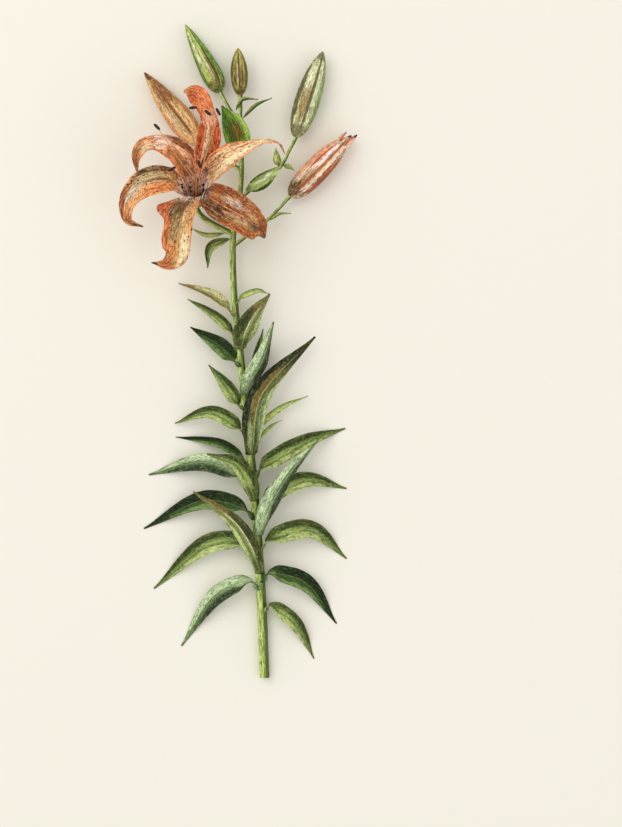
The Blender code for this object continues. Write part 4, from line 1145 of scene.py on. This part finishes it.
def add_pistil():
    """Ovary, style and three-lobed stigma."""
    steps, around = PISTIL_FINE
    foot = [SEAT + FLOWER_AXIS * height for height, _ in OVARY]
    leave = THROAT + FLOWER_AXIS * STYLE_STRAIGHT
    middle = leave.lerp(STIGMA, 0.5) + UP * 1.5
    path = smooth_path([*foot, leave, middle, STIGMA], steps)

    def radius_at(share, angle):
        """Three-ribbed at the ovary, thin along the style, and lobed at the stigma."""
        height = (path[round(share * steps)] - SEAT).dot(FLOWER_AXIS)
        radius = OVARY[-1][1]
        for (low, a), (high, b) in zip(OVARY, OVARY[1:]):
            if low <= height <= high:
                radius = a + (b - a) * (height - low) / (high - low)
        ribs = 0.06 * math.cos(3 * angle) * eased(2 - height / 12)
        left = (1 - share) * steps
        flare = (STIGMA_RADIUS * (0.78 + 0.24 * math.cos(3 * angle)) - radius) * math.exp(-(left / 2.2) ** 2)
        return radius * (1 + ribs) + flare

    shape = Shape()
    rings = [shape.tube(path, radius_at, around)[-1]]
    shape.faces.pop()
    tip = path[-1]
    onward = (tip - path[-2]).normalized() * 0.9
    for scale, rise in STIGMA_TOP:
        ring = []
        for number in rings[0]:
            point = tip.lerp(shape.points[number] / MM + MIDDLE, scale) + onward * rise
            ring.append(shape.add(point, shape.grain[number], shape.place[number]))
        rings.append(ring)
    shape.grid(rings, loop=True)
    shape.faces.append(tuple(rings[-1]))
    shape.make("pistil", "pistil", pistil_skin())


def bud_radius(share, angle, bud):
    """A bud's radius at a share of its length and an angle, with keels and seams."""
    _, radius, widest, point, turn = bud
    if share < widest:
        size = math.sqrt(max(1 - (1 - share / widest) ** BUD_FOOT, 0.0))
    else:
        size = max(1 - ((share - widest) / (1 - widest)) ** point, 0.0) ** BUD_SHOULDER
    around = angle + math.radians(turn)
    ridged = math.cos(3 * around)
    rounded = BUD_ROUND + KEEL_RISE * ridged - SEAM_SINK * math.cos(6 * around)
    seam = FINE_SEAM[0] * math.exp(-((ridged + 1) / FINE_SEAM[1]) ** 2)
    keel = FINE_KEEL[0] * math.exp(-((ridged - 1) / FINE_KEEL[1]) ** 2)
    return size * radius * (rounded - seam + keel)


def add_bud(name):
    """A closed bud with three keels and three seams; the opening one has parted tips."""
    bud = BUDS[name]
    tip, radius, _, _, turn = bud
    tip = Vector(tip)
    end = Vector(STALKS[name][0][-1])
    along = (tip - end).normalized()
    foot = end - along * BUD_OVERLAP
    length = (tip - foot).length
    across, above = ways_around(along)

    def point_at(half_turn, angle):
        """A point of the bud, its grain and its place."""
        share = (1 - math.cos(half_turn)) / 2
        size = bud_radius(share, angle, bud) + BUD_UNEVEN * rough(angle * 6, share * 8, radius)
        x = math.cos(angle) * size
        y = math.sin(angle) * size
        spot = foot + along * length * share + across * x + above * y
        spot.z = max(spot.z, BUD_LOWEST)
        keel = math.cos(3 * (angle + math.radians(turn)))
        return spot, (x, y, length * share + radius * 40), (keel, share, math.cos(angle))

    shape = Shape()
    shape.body(BUD_FINE, point_at)
    slot = "bud_orange" if name in ("bud_4", "bud_5") else "bud_green"
    shape.make(name, slot, bud_skin(name, BUD_LOOKS[name]))
    if name != OPENING_BUD:
        return
    steps, columns = PARTED_FINE
    parted = leaf_skin("parted_tip_skin", PARTED_LOOK)
    for number, (degrees, reach) in enumerate(PARTED_TIPS):
        away = leaning(across, above, degrees)
        rises = (-PARTED_ROOT, -PARTED_BEND, reach)
        path = smooth_path([tip + along * rise + away * out for rise, out in zip(rises, PARTED_OUT)], steps)
        piece = blade(
            name, slot, path, -away, columns,
            half_width=lambda share: PARTED_WIDTH / 2 * (1 - 0.85 * share ** 2.5),
            curl=lambda share: 0.8, roll=lambda share: 0.0, skins=[parted], seed=80 + number)
        piece.name = f"bud_4_tip_{number + 1}"


def add_floor():
    """A plain pale surface."""
    far = 3.0
    mesh = bpy.data.meshes.new("floor")
    mesh.from_pydata([(-far, -far, 0), (far, -far, 0), (far, far, 0), (-far, far, 0)], [], [(0, 1, 2, 3)])
    floor = placed("floor", mesh)
    s = Skin("floor")
    s.put(s.shader.inputs["Base Color"], (250, 246, 233))
    s.put(s.shader.inputs["Roughness"], 0.9)
    s.put(s.shader.inputs["Specular IOR Level"], 0.1)
    mesh.materials.append(s.material)


# Each lamp, a soft square that faces the middle: its place in metres, its power and its colour.
LAMPS = {
    "key": ((-1.3, 1.1, 2.2), 25, (1.0, 0.99, 0.975)),
    "fill": ((1.6, -0.8, 2.0), 9, (0.97, 0.985, 1.0)),
}
LAMP_SIZE = 2.4
CAMERA = (56.8, -49.6, 2400)
PICTURE_LENGTH = 661.6  # how much of the surface the picture's long side shows
SENSOR = 36


def add_studio():
    """Camera straight above, soft light from the upper left, and a bright surround."""
    scene = bpy.context.scene
    data = bpy.data.cameras.new("camera")
    scene.camera = placed("camera", data)
    scene.camera.location = [c * MM for c in CAMERA]
    data.sensor_width = SENSOR
    data.lens = SENSOR * CAMERA[2] / PICTURE_LENGTH
    data.clip_end = 20
    for name, (place, power, colour) in LAMPS.items():
        light = bpy.data.lights.new(name, "AREA")
        light.size = LAMP_SIZE
        light.energy = power
        light.color = colour
        lamp = placed(name, light)
        lamp.location = place
        lamp.rotation_euler = Vector(place).to_track_quat("Z", "Y").to_euler()
    world = bpy.data.worlds.new("surround")
    scene.world = world
    world.use_nodes = True
    background = world.node_tree.nodes["Background"]
    background.inputs["Color"].default_value = rgb(252, 251, 250)
    background.inputs["Strength"].default_value = 0.715
    scene.view_settings.view_transform = "Standard"


add_stem()
add_leaves()
add_bracts()
add_tepals()
add_stamens()
add_pistil()
for bud_name in BUDS:
    add_bud(bud_name)
add_floor()
add_studio()
